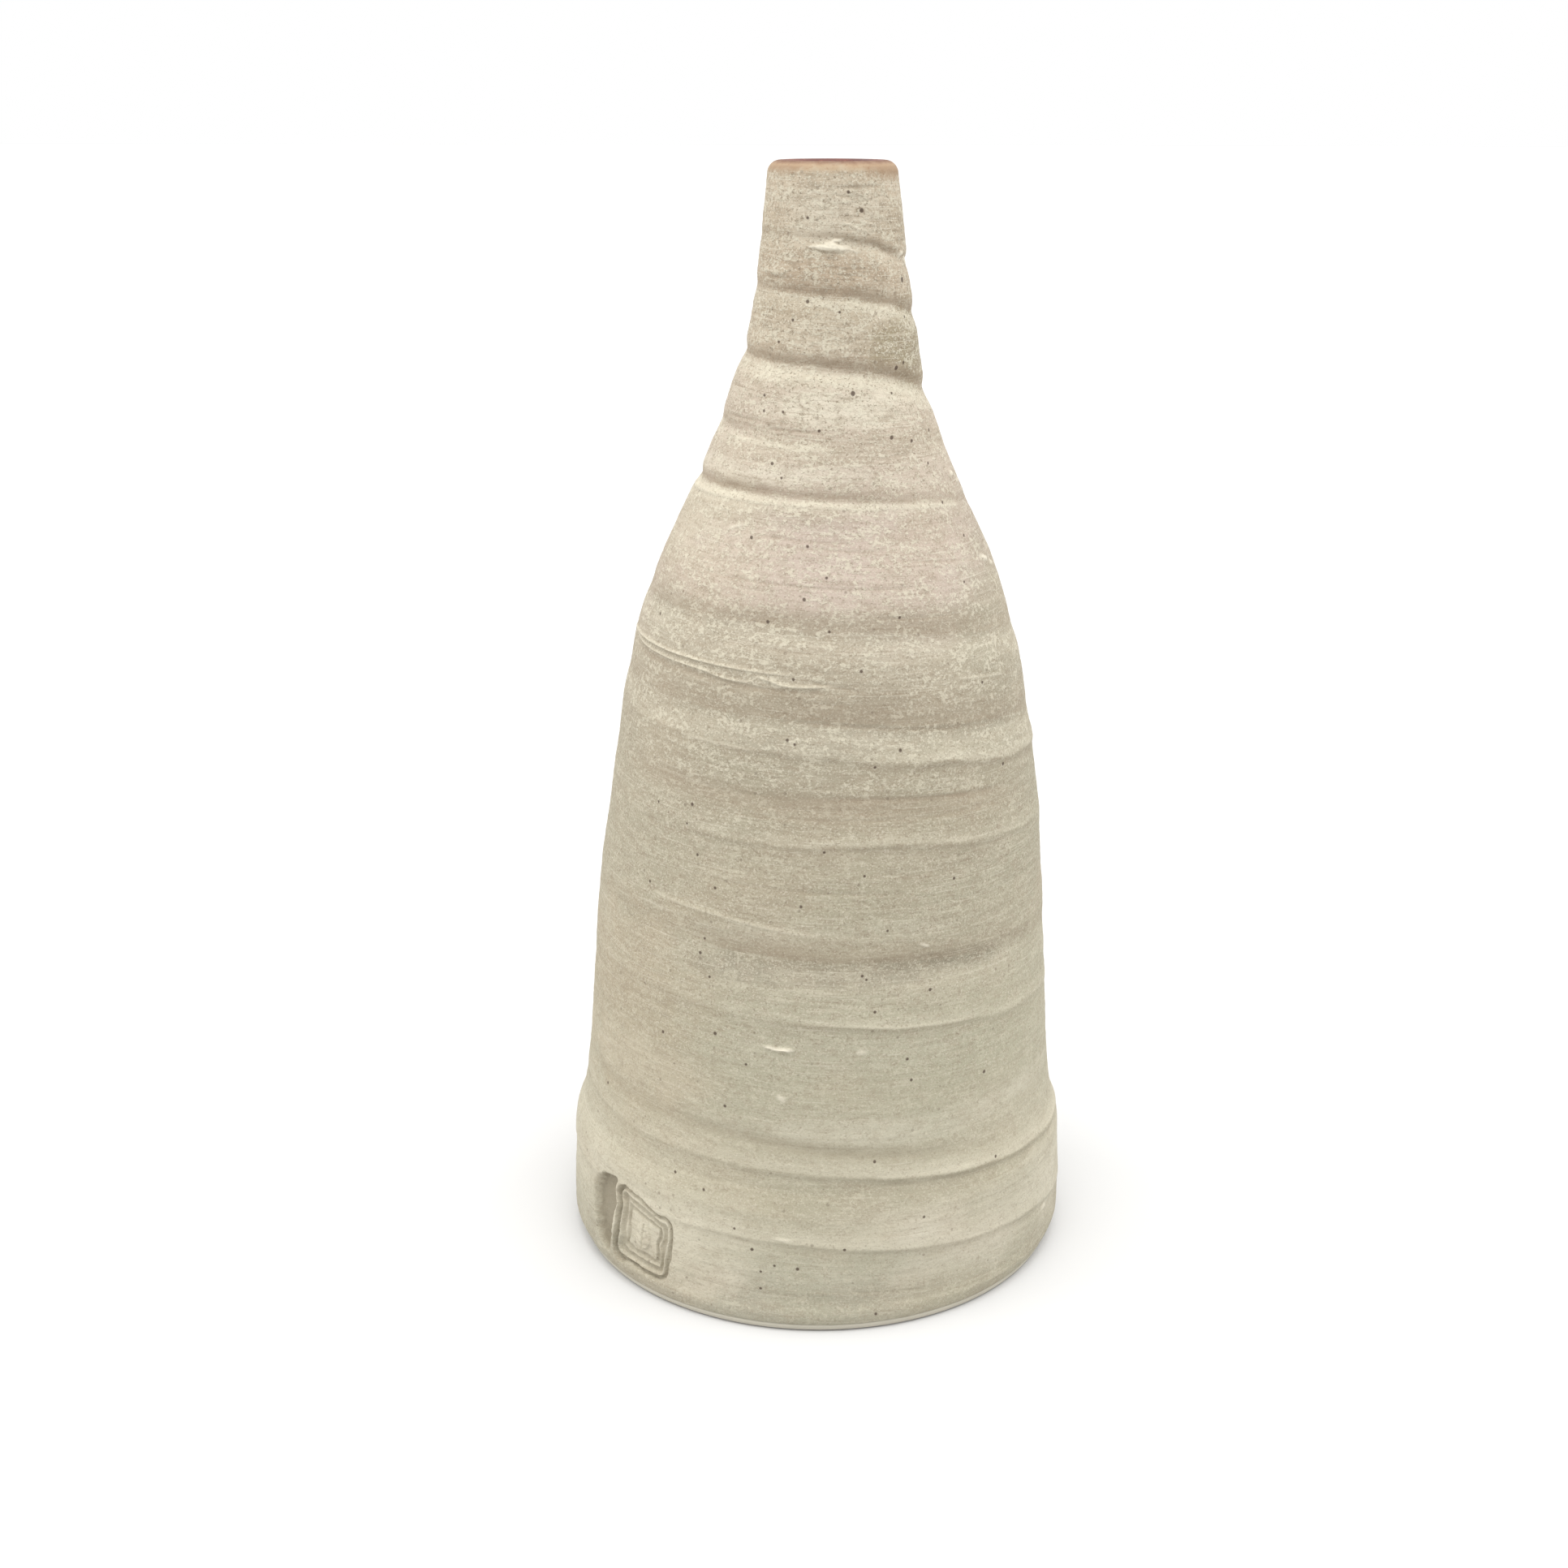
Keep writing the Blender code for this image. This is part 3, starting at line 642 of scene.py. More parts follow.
def grid_points(rows, angles):
    """Points of all the rows of a piece, and how much slip, pale glaze with a painted highlight, and pooled
    glaze with painted shade each has.
    """
    angle = angles[None, :]
    height, depth, level, skin, back, trueness = np.array(rows, float).T[:, :, None]
    on_skin = skin[:, 0] > 0
    sunk = spiral_relief(angle, level)[3]
    radius = body_radius(angle, level, -sunk) - (1 - back) * seal_recess(angle, level)
    slip, pale, pooling_and_shade = no_relief(angle, level, 3)
    if on_skin.any():
        skin_level = level[on_skin]
        rise, ledge_pale_and_highlight, ledge_pooling_and_shade, _ = spiral_relief(angle, skin_level)
        seal_depth, seal_pooling_and_shade = seal_relief(angle, skin_level)
        line_rise, rim_pale_and_highlight, crease_painted_shade = line_relief(angle, skin_level)
        crumb_rise, crumb_slip = crumb_relief(angle, skin_level)
        detail = line_rise + crumb_rise + skin_relief(angle, skin_level)
        radius[on_skin] = body_radius(angle, skin_level, rise) - seal_depth
        radius[on_skin] += smoothstep(HEIGHT, HEIGHT - 4, height[on_skin]) * detail
        slip[on_skin] = crumb_slip
        # Pale glaze with a painted highlight on ledges and rims; pooled glaze with painted shade in
        # grooves, under crests, in creases and in the seal.
        pale[on_skin] = np.clip(LEDGE_PALE_AND_HIGHLIGHT * ledge_pale_and_highlight + rim_pale_and_highlight, 0, 1)
        pooling_and_shade[on_skin] = np.clip(LEDGE_POOLING_AND_SHADE * ledge_pooling_and_shade + crease_painted_shade, 0, 1) + seal_pooling_and_shade
    radius = radius * (1 - trueness) + outline(level) * trueness - depth
    turn = np.radians(angle)
    x = axis_shift(height) * (1 - trueness) + radius * np.sin(turn)
    y = -radius * np.cos(turn)
    z = np.broadcast_to(height, x.shape)
    arc = np.radians(angle) * outline(level) * MM
    values = {"slip": slip.ravel(), "pale": pale.ravel(), "pooling_and_shade": pooling_and_shade.ravel(), "arc": arc.ravel()}
    return np.stack([x, y, z], 2).reshape(-1, 3), values


def unwrap(rows, angles, closed):
    """Edges of the unwrap: turns along u, and the length of the profile along v."""
    heights, depths, levels = np.array(rows, float).T[:3]
    radii = outline(levels) - depths
    if closed:
        heights, radii = np.append(heights, heights[0]), np.append(radii, radii[0])
    lengths = np.hypot(np.diff(heights), np.diff(radii)) + 0.01
    v = 0.01 + 0.98 * np.concatenate([[0], np.cumsum(lengths)]) / lengths.sum()
    turns = np.append(angles, angles[0] + 360)
    u = 0.005 + 0.99 * (turns - turns[0]) / 360
    return u, v


def add_object(name, data):
    new = bpy.data.objects.new(name, data)
    bpy.context.scene.collection.objects.link(new)
    return new


def turned_piece(name, rows, angles, material, closed=True):
    """A solid from rows that run down its outside and back up its inside.

    An open run of rows starts and ends near the axis, where a fan closes it.
    """
    count, columns = len(rows), len(angles)
    vertices, values = grid_points(rows, angles)
    u, v = unwrap(rows, angles, closed)
    bands = count if closed else count - 1
    row_index = np.repeat(np.arange(bands), columns)
    column = np.tile(np.arange(columns), bands)
    next_row = (row_index + 1) % count
    next_column = (column + 1) % columns
    quads = np.stack([row_index * columns + column, next_row * columns + column,
                      next_row * columns + next_column, row_index * columns + next_column], 1)
    left, right, top, bottom = u[column], u[column + 1], v[row_index], v[row_index + 1]
    quad_uv = np.stack([left, top, left, bottom, right, bottom, right, top], 1).reshape(-1, 2)
    corners, sizes, uvs = [quads.ravel()], [np.full(len(quads), 4)], [quad_uv]
    caps = () if closed else ((0, (0, 1, 2), 0.004, v[0]), (count - 1, (0, 2, 1), 0.996, v[-1]))
    for ring_row, order, hub_v, ring_v in caps:
        ring = ring_row * columns + np.arange(columns)
        hub = np.full(columns, len(vertices))
        vertices = np.vstack([vertices, vertices[ring].mean(0)])
        values = {key: np.append(value, 0) for key, value in values.items()}
        fan = np.stack([hub, ring, np.roll(ring, -1)], 1)
        fan_u = np.stack([(u[:-1] + u[1:]) / 2, u[:-1], u[1:]], 1)
        fan_v = np.tile([hub_v, ring_v, ring_v], (columns, 1))
        corners.append(fan[:, order].ravel())
        sizes.append(np.full(columns, 3))
        uvs.append(np.stack([fan_u[:, order], fan_v[:, order]], 2).reshape(-1, 2))
    mesh = mesh_from_arrays(name, vertices, np.concatenate(corners), np.concatenate(sizes),
                            np.concatenate(uvs), values)
    mesh.materials.append(material)
    return add_object(name, mesh)


def mesh_from_arrays(name, vertices, corners, sizes, uvs, values):
    mesh = bpy.data.meshes.new(name)
    mesh.vertices.add(len(vertices))
    mesh.vertices.foreach_set("co", (vertices * MM).astype(np.float32).ravel())
    mesh.loops.add(len(corners))
    mesh.loops.foreach_set("vertex_index", corners.astype(np.int32))
    mesh.polygons.add(len(sizes))
    starts = np.concatenate([[0], np.cumsum(sizes)[:-1]])
    mesh.polygons.foreach_set("loop_start", starts.astype(np.int32))
    mesh.update(calc_edges=True)
    layer = mesh.uv_layers.new(name="OFBake")
    layer.uv.foreach_set("vector", uvs.astype(np.float32).ravel())
    for key, value in values.items():
        attribute = mesh.attributes.new(key, "FLOAT", "POINT")
        attribute.data.foreach_set("value", value.astype(np.float32))
    mesh.shade_smooth()
    mesh.set_sharp_from_angle(angle=math.radians(SHARP_ANGLE))
    return mesh


def wall_rows(start, end, spacing, depth, **settings):
    """Rows of a wall surface between two heights, up or down."""
    count = max(2, int(round(abs(end - start) / spacing)) + 1)
    return [row(height, depth, **settings) for height in np.linspace(start, end, count)]


def arc_rows(rounding, start, end, count, **settings):
    """Rows of the half-round lip: 0 degrees is outside, 90 the crest and 180 inside."""
    rows = []
    for angle in np.radians(np.linspace(start, end, count)):
        depth = LIP_ROUNDING - rounding * math.cos(angle)
        rows.append(row(LIP_CENTRE + rounding * math.sin(angle), depth, LIP_CENTRE, **settings))
    return rows


def stepped_rows(seam, side):
    """The stepped joint of two sections: side -1 is the tongue below it, +1 the notch above it."""
    middle = CLAY_TOP_DEPTH + CLAY / 2 - side * GAP / 2
    ledge = seam + side * GAP / 2
    return [row(ledge + TONGUE, middle), row(ledge, middle)][::-side]


# Materials.

# The studio is brighter than a white world, so surface colours are this share of how they look.
LIGHT_SHARE = 0.718

# The colour sockets of a mix node, by number.
RGBA_OUTPUT = 2
RGBA_BELOW = 6
RGBA_ABOVE = 7


def linear(red, green, blue):
    """A colour given as 0 to 255 sRGB levels."""
    levels = (level / 255 for level in (red, green, blue))
    return tuple(c / 12.92 if c <= 0.04045 else ((c + 0.055) / 1.055) ** 2.4 for c in levels) + (1,)


def seen(red, green, blue):
    """A surface colour from the sRGB levels that it shows in the studio."""
    return tuple(LIGHT_SHARE * c for c in linear(red, green, blue)[:3]) + (1,)


class Surface:
    """A procedural material, whose colour is laid on coat by coat."""

    def __init__(self, name):
        self.material = bpy.data.materials.new(name)
        self.material.use_nodes = True
        self.tree = self.material.node_tree
        self.shader = self.tree.nodes["Principled BSDF"]
        self.place = self.node("TexCoord").outputs["Object"]
        self.colour = None

    def node(self, kind, inputs=None, **settings):
        """Add a node; an input takes either a value or another node's output."""
        new = self.tree.nodes.new("ShaderNode" + kind)
        for key, value in settings.items():
            setattr(new, key, value)
        for key, value in (inputs or {}).items():
            if isinstance(value, bpy.types.NodeSocket):
                self.tree.links.new(value, new.inputs[key])
            else:
                new.inputs[key].default_value = value
        return new

    def along(self, axis):
        """The X, Y or Z coordinate, in metres."""
        return self.node("SeparateXYZ", {"Vector": self.place}).outputs[axis]

    def height(self):
        """Height in millimetres."""
        return self.calculate("DIVIDE", self.along("Z"), MM)

    def attribute(self, name):
        return self.node("Attribute", attribute_name=name).outputs["Fac"]

    def calculate(self, operation, first, second=0, third=0):
        return self.node("Math", {0: first, 1: second, 2: third}, operation=operation).outputs[0]

    def plus(self, first, second):
        return self.calculate("ADD", first, second)

    def times(self, first, second):
        return self.calculate("MULTIPLY", first, second)

    def times_plus(self, first, second, third):
        return self.calculate("MULTIPLY_ADD", first, second, third)

    def spread(self, value, low, high, to_low=0, to_high=1):
        """Map a range onto another, smoothly and without going past its ends."""
        inputs = {"Value": value, "From Min": low, "From Max": high, "To Min": to_low, "To Max": to_high}
        return self.node("MapRange", inputs, interpolation_type="SMOOTHSTEP").outputs["Result"]

    def noise(self, size, detail=2, roughness=0.5, squeeze=1, shift=0, place=None):
        """Noise with a grain size in millimetres; squeeze flattens the grains vertically."""
        mapping = self.node("Mapping", {
            "Vector": self.place if place is None else place, "Location": (shift, shift * 0.7, shift * 1.3),
            "Scale": (1, 1, squeeze)})
        return self.node("TexNoise", {
            "Vector": mapping.outputs["Vector"], "Scale": 1 / (size * MM), "Detail": detail,
            "Roughness": roughness}).outputs["Fac"]

    def spots(self, spacing, low, high, rarity, shift):
        """Round specks: about one in each cell, with radii from low to high millimetres."""
        mapping = self.node("Mapping", {"Vector": self.place, "Location": (shift, shift, shift)})
        cells = self.node("TexVoronoi", {
            "Vector": mapping.outputs["Vector"], "Scale": 1 / (spacing * MM), "Randomness": 1})
        chance = self.node("SeparateColor", {"Color": cells.outputs["Color"]}).outputs[0]
        smallest = self.times(self.calculate("GREATER_THAN", chance, rarity), low / spacing)
        radius = self.calculate("MAXIMUM", self.spread(chance, rarity, 1, 0, high / spacing), smallest)
        return self.node("MapRange", {
            "Value": cells.outputs["Distance"], "From Min": self.plus(radius, 0.0001),
            "From Max": self.times(radius, 0.55), "To Min": 0, "To Max": 1}).outputs["Result"]

    def by_height(self, height, stops):
        """A colour that changes with height: stops are (height in millimetres, sRGB levels)."""
        ramp = self.node("ValToRGB", {"Fac": self.calculate("DIVIDE", height, HEIGHT)})
        elements = ramp.color_ramp.elements
        for index, (level, levels) in enumerate(stops):
            element = elements[index] if index < 2 else elements.new(level / HEIGHT)
            element.position = level / HEIGHT
            element.color = seen(*levels)
        return ramp.outputs["Color"]

    def mix(self, amount, below, above):
        """One colour over another, by an amount from 0 to 1."""
        inputs = {0: amount, RGBA_BELOW: below, RGBA_ABOVE: above}
        return self.node("Mix", inputs, data_type="RGBA").outputs[RGBA_OUTPUT]

    def lay(self, amount, colour):
        """Lay a coat of a colour over what is there."""
        self.colour = self.mix(amount, self.colour, colour)

    def complete(self, roughness, relief, depth, specular=0.5):
        """Link the colour, the roughness and a bump of so many millimetres, and give the material."""
        bump = self.node("Bump", {"Strength": 1, "Distance": depth * MM, "Height": relief})
        inputs = self.shader.inputs
        self.tree.links.new(self.colour, inputs["Base Color"])
        self.tree.links.new(roughness, inputs["Roughness"])
        self.tree.links.new(bump.outputs["Normal"], inputs["Normal"])
        inputs["Specular IOR Level"].default_value = specular
        return self.material


def lay_patches(glaze):
    """Lay the broad patches, with ragged edges."""
    ragged = glaze.spread(glaze.noise(8, 4, 0.64, 1.5, 51), 0.25, 0.75, -0.7, 0.7)
    x, z = glaze.along("X"), glaze.along("Z")
    for across, level, half_width, half_height, amount, levels in PATCHES:
        u = glaze.times_plus(x, 1 / (half_width * MM), -across / half_width)
        v = glaze.times_plus(z, 1 / (half_height * MM), -level / half_height)
        distance = glaze.times_plus(v, v, ragged)
        distance = glaze.times_plus(u, u, distance)
        glaze.lay(glaze.spread(distance, 1.7, 0.1, 0, amount), seen(*levels))


def placed_specks(glaze):
    """How much each point lies on one of the larger iron specks."""
    flat = glaze.node("CombineXYZ", {"X": glaze.attribute("arc"), "Y": glaze.along("Z")}).outputs["Vector"]
    nearest = 1
    for angle, level, radius in SPECKS:
        centre = (math.radians(angle) * float(outline(level)) * MM, level * MM, 0)
        distance = glaze.node("VectorMath", {0: flat, 1: centre}, operation="DISTANCE").outputs["Value"]
        nearest = glaze.calculate("MINIMUM", glaze.calculate("SUBTRACT", distance, radius * MM), nearest)
    return glaze.spread(nearest, SPECK_EDGE * MM, -SPECK_EDGE * MM)


def drawn_place(glaze):
    """Coordinates that follow the slope of the throwing lines."""
    x = glaze.along("X")
    lifted = glaze.times_plus(x, 0.045, glaze.along("Z"))
    return glaze.node("CombineXYZ", {"X": x, "Y": glaze.along("Y"), "Z": lifted}).outputs["Vector"]


def matte_glaze():
    """Dry oatmeal glaze over speckled clay, with pale flecks, brushed streaks and iron specks."""
    glaze = Surface("matte_glaze")
    noise, spread, times, plus, lay = glaze.noise, glaze.spread, glaze.times, glaze.plus, glaze.lay
    drawn = drawn_place(glaze)
    wander = noise(24, 2, 0.5, 1.4, 3)
    height = plus(glaze.height(), spread(wander, 0.2, 0.8, -5, 5))
    upper = spread(height, 84, 128)
    glaze.colour = glaze.by_height(height, GLAZE_ZONES)
    lay_patches(glaze)
    lay(spread(noise(30, 3, 0.55, 1.6, 41), 0.42, 0.66, 0, 0.3), seen(194, 178, 154))
    cool = noise(26, 2, 0.5, 1.2, 47)
    green = times(spread(cool, 0.42, 0.62, 0.1, 0.45), spread(height, 130, 90))
    lay(times(green, spread(glaze.along("X"), -0.045, 0.005, 0.3, 1)), seen(181, 178, 154))

    boldness = plus(spread(height, 30, 80, 0.64, 1), spread(height, 150, 184, 0, 0.42))

    def brush(value, low, high, amount, tint):
        lay(times(spread(value, low, high, 0, amount), boldness), tint)

    brush(noise(2.4, 5, 0.68, 1.6, 5, drawn), 0.54, 0.36, 0.42, seen(166, 151, 130))
    streak = noise(7, 4, 0.64, 11, 9, drawn)
    brush(streak, 0.5, 0.7, 0.3, seen(224, 215, 194))
    brush(streak, 0.48, 0.34, 0.26, seen(160, 148, 128))
    hairline = noise(16, 3, 0.62, 70, 37, drawn)
    brush(hairline, 0.6, 0.68, 0.46, seen(150, 134, 112))
    brush(hairline, 0.4, 0.32, 0.44, seen(232, 225, 206))
    # Pale on the spiral's ledges and crests and on the rims: partly pale glaze, partly a painted highlight
    # where they face up to the light.
    pale = glaze.attribute("pale")
    lay(times(pale, 0.52), seen(236, 228, 206))

    cluster = noise(5, 4, 0.6, 2.2, 17, drawn)
    blotch = plus(noise(0.95, 3, 0.68, 1.3, 13), spread(cluster, 0.34, 0.66, -0.07, 0.07))
    blotch = glaze.times_plus(pale, 0.05, blotch)
    fleck = times(spread(blotch, 0.51, 0.62), spread(upper, 0, 1, 0.34, 0.62))
    lay(fleck, glaze.mix(upper, seen(217, 210, 187), seen(229, 222, 200)))
    brush(noise(0.55, 2, 0.6, 1.2, 21), 0.46, 0.3, 0.52, seen(142, 128, 108))
    brush(noise(0.38, 2, 0.6, 1.2, 23), 0.52, 0.68, 0.54, seen(230, 222, 202))

    # Painted shade in the grooves, under the crests, in the creases and the seal, partly pooled glaze;
    # darker still in the seal's gouge.
    pooling_and_shade = glaze.attribute("pooling_and_shade")
    lay(times(pooling_and_shade, 0.52), glaze.mix(spread(height, 36, 62), seen(158, 148, 126), seen(164, 146, 124)))
    lay(spread(pooling_and_shade, 0.95, 1.35, 0, 0.55), seen(158, 149, 129))
    lay(glaze.attribute("slip"), seen(240, 232, 212))
    behind = spread(glaze.along("Y"), -0.012, 0.004, 0.34, 0.8)
    lay(times(glaze.spots(2.75, 0.12, 0.44, 0.3, 0.4), behind), seen(84, 62, 48))
    lay(times(placed_specks(glaze), 0.84), seen(80, 62, 52))
    lay(toast_amount(glaze), toast_colour(glaze))

    dryness = spread(noise(1.6, 3, 0.6, 1.5, 27), 0.3, 0.7, 0.76, 0.95)
    grain = plus(noise(0.45, 2, 0.6, 1, 31), times(fleck, 0.8))
    return glaze.complete(dryness, grain, depth=0.1, specular=0.25)


def aside_of_front(glaze):
    """0 at the middle of the lip's front and 1 towards its two sides."""
    away = glaze.calculate("ABSOLUTE", glaze.calculate("SUBTRACT", glaze.along("X"), 0.0016))
    return glaze.spread(away, 0.004, 0.0075)


def toast_amount(glaze):
    """How far the flame toasted the glaze: only just under the lip, and lower at the right."""
    ragged = glaze.noise(2.2, 4, 0.62, 1, 2)
    level = glaze.plus(glaze.height(), glaze.spread(ragged, 0.3, 0.7, -0.55, 0.55))
    level = glaze.plus(level, glaze.spread(glaze.along("X"), 0.008, 0.013, 0, 1.2))
    level = glaze.times_plus(aside_of_front(glaze), 0.6, glaze.plus(level, -0.4))
    return glaze.spread(level, 217, 219.5, 0, 0.88)


def toast_colour(glaze):
    """The toasted glaze under the lip, deeper at the two sides of the front."""
    return glaze.mix(aside_of_front(glaze), seen(188, 161, 130), seen(170, 141, 112))


def toasted_glaze():
    """The thin glaze on the lip, toasted where it thins and brown on the crest."""
    glaze = Surface("toasted_clay")
    spread = glaze.spread
    ragged = glaze.noise(1.6, 3, 0.6, 1, 2)
    height = glaze.plus(glaze.height(), spread(ragged, 0.3, 0.7, -0.1, 0.1))
    # The lip's colours, with a painted highlight in the pale band just under the crest.
    crest = glaze.by_height(height, CREST_COLOURS_AND_HIGHLIGHT)
    crest = glaze.mix(spread(height, 219.5, 218.8), crest, toast_colour(glaze))
    glaze.colour = glaze.mix(toast_amount(glaze), seen(203, 187, 162), crest)
    grain = glaze.noise(0.5, 3, 0.6, 1, 6)
    glaze.lay(spread(grain, 0.45, 0.3, 0, 0.35), seen(150, 106, 70))
    return glaze.complete(spread(ragged, 0.3, 0.7, 0.62, 0.85), grain, depth=0.06, specular=0.3)


def liner_satin():
    """The maroon-brown glaze inside, pooled darker in the hollows of the throwing."""
    glaze = Surface("liner_glaze")
    pool = glaze.noise(9, 3, 0.55, 2.5, 4)
    glaze.colour = glaze.mix(glaze.spread(pool, 0.35, 0.65), linear(74, 34, 30), linear(112, 58, 46))
    freckle = glaze.noise(0.9, 2, 0.6, 1, 8)
    glaze.lay(glaze.spread(freckle, 0.58, 0.68, 0, 0.5), linear(146, 88, 62))
    return glaze.complete(glaze.spread(pool, 0.3, 0.7, 0.3, 0.46), freckle, depth=0.04)


def bare_clay():
    """Unglazed buff stoneware with dark grog, toasted in patches, greyed where the foot was wiped and paler
    still under the foot's rounding, painted light against its shade.
    """
    clay = Surface("clay_body")
    spread = clay.spread
    patch = clay.noise(14, 3, 0.55, 1, 12)
    clay.colour = clay.mix(spread(patch, 0.35, 0.65), seen(190, 168, 138), seen(208, 190, 162))
    grain = clay.noise(0.7, 4, 0.65, 1, 16)
    clay.lay(spread(grain, 0.46, 0.34, 0, 0.5), seen(150, 126, 100))
    clay.lay(clay.times(clay.spots(2.6, 0.12, 0.34, 0.35, 0.9), 0.8), seen(86, 64, 50))
    height = clay.height()
    level = clay.node("VectorMath", {0: clay.place, 1: (1, 1, 0)}, operation="MULTIPLY").outputs[0]
    radius = clay.node("VectorMath", {0: level}, operation="LENGTH").outputs["Value"]
    edge = clay.times(spread(height, 2.4, 1.6), spread(radius, 0.045, 0.047))
    # Pale grey where the foot was wiped, and paler still low under the rounding: painted light where the
    # clay lies in shade.
    wiped_and_painted_light = clay.mix(spread(height, 0.4, 0.9), seen(238, 233, 218), seen(214, 211, 196))
    clay.lay(clay.times(edge, 0.85), wiped_and_painted_light)
    return clay.complete(spread(grain, 0.3, 0.7, 0.82, 0.96), grain, depth=0.1, specular=0.25)


# The pieces.

# The coat's thin edge above the foot and the clay that comes out under it, as (height, depth).
COAT_EDGE_ROWS = ((2.1, 0.01), (1.8, 0.06), (1.6, 0.18))
CLAY_EDGE_ROWS = ((3, 0.7), (2.1, 0.62), (1.7, 0.46), (1.45, 0.14), (1.2, 0.07))
FOOT_INSET = 0.06

# The closely set rims in the belly, the lip's turns in degrees where the coat ends and the liner
# begins, and where the liner is divided.
RIMS = (126.4, 131.4)
RIM_SPACING = 0.12
LIP_EDGE = 20
LIP_SHOULDER = 217.8
ROLL_EDGE = 96
LINER_SPLIT = 110

# Where the hand that drew the wire turned, in millimetres from the middle of the foot.
WIRE_PIVOT = (88, -30)


def finished(piece, cad_node):
    """Tell the frame what a piece rides on and what it replaces."""
    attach(piece, "root")
    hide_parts(cad_node)


def coat_bands(material):
    """The matte coat, in bands that stay light meshes; they meet on level lines."""
    bands = (
        ("coat_base", 2.5, 0.2, 0.8, angles_closer_at_seal(300, 200)),
        ("coat_belly_low", 31, 0.3, 1.8, even_angles(400)),
        ("coat_belly_high", 86, 0.3, 1.8, even_angles(400)),
        ("coat_shoulder", 140, 0.23, 1.8, even_angles(400)),
        ("coat_neck", 181.5, 0.15, 1.8, even_angles(340)),
    )
    tops = [band[1] for band in bands[1:]] + [LIP_CENTRE]
    for (name, low, spacing, hidden_spacing, angles), high in zip(bands, tops):
        outside = wall_rows(high, low, spacing, 0, skin=True)
        inside = wall_rows(low, high, hidden_spacing, COAT)
        if name == "coat_base":
            outside += [row(height, depth, skin=True) for height, depth in COAT_EDGE_ROWS]
            inside = [row(1.65, 0.36)] + inside
        if name == "coat_belly_high":
            outside = (wall_rows(high, RIMS[1], spacing, 0, skin=True)[:-1]
                       + wall_rows(RIMS[1], RIMS[0], RIM_SPACING, 0, skin=True)
                       + wall_rows(RIMS[0], low, spacing, 0, skin=True)[1:])
        if name == "coat_neck":
            outside = arc_rows(LIP_ROUNDING, LIP_EDGE, 2, 7, skin=True) + outside
            inside += arc_rows(LIP_ROUNDING - 0.3, 4, LIP_EDGE, 3)
        finished(turned_piece(name, outside + inside, angles, material), "outer_glaze")


def lip_bead(material):
    """The half-round lip under the thinned glaze, seated in the neck's stepped joint."""
    rows = arc_rows(LIP_ROUNDING, ROLL_EDGE, LIP_EDGE, 24, skin=True)
    rows += [row(LIP_SHOULDER, CLAY_TOP_DEPTH, LIP_CENTRE)]
    rows += wall_rows(LIP_CENTRE - 1, LIP_SEAM + GAP / 2, 0.8, CLAY_TOP_DEPTH)
    rows += stepped_rows(LIP_SEAM, 1)
    rows += wall_rows(LIP_SEAM + GAP / 2 + TONGUE, LIP_CENTRE, 0.8, CLAY_BACK_DEPTH, back=True)
    rows += arc_rows(LIP_ROUNDING - LINER - GAP, 175, ROLL_EDGE + 2, 10)
    finished(turned_piece("lip_bead", rows, even_angles(320), material), "lip_ring")


def clay_sections(material):
    """The thrown clay of the belly, shoulder and neck between their stepped joints."""
    sections = (
        ("clay_belly", "belly_section", BASE_SEAM, BELLY_SEAM, 1.2, 240),
        ("clay_shoulder", "shoulder_section", BELLY_SEAM, SHOULDER_SEAM, 0.8, 240),
        ("clay_neck", "neck_section", SHOULDER_SEAM, LIP_SEAM, 0.8, 200),
    )
    for name, cad_node, low, high, spacing, columns in sections:
        rows = wall_rows(high - GAP / 2, low + GAP / 2, spacing, CLAY_TOP_DEPTH)
        rows += stepped_rows(low, 1)
        rows += wall_rows(low + GAP / 2 + TONGUE, high - GAP / 2 + TONGUE, spacing,
                          CLAY_BACK_DEPTH, back=True)
        rows += stepped_rows(high, -1)
        finished(turned_piece(name, rows, even_angles(columns), material), cad_node)


def floor_rows(height, start, end, count):
    """Level rows across the pot, from one radius to another."""
    radii = np.linspace(start, end, count)
    return [row(height, outline(height) - radius, trueness=1) for radius in radii]


def fillet_rows(rounding, centre_radius, centre_height, start, end, count):
    """A quarter round between the floor and the wall: -90 degrees is at the floor."""
    rows = []
    for angle in np.radians(np.linspace(start, end, count)):
        radius = centre_radius + rounding * math.cos(angle)
        height = centre_height + rounding * math.sin(angle)
        rows.append(row(height, outline(centre_height) - radius, centre_height, back=True,
                        trueness=float(smoothstep(0, -1.2, angle))))
    return rows


def wire_marks(x, y):
    """Arcs that the cutting wire left on the underside, all above the surface it stands on."""
    from_middle = np.hypot(x, y)
    from_pivot = np.hypot(x - WIRE_PIVOT[0], y - WIRE_PIVOT[1])
    ridges = 0.5 + 0.5 * np.sin(from_pivot * 1.9 + 0.8 * np.sin(x * 0.11))
    return smoothstep(45, 42, from_middle) * (0.12 + 0.22 * ridges + 0.35 * smoothstep(40, 0, from_middle))


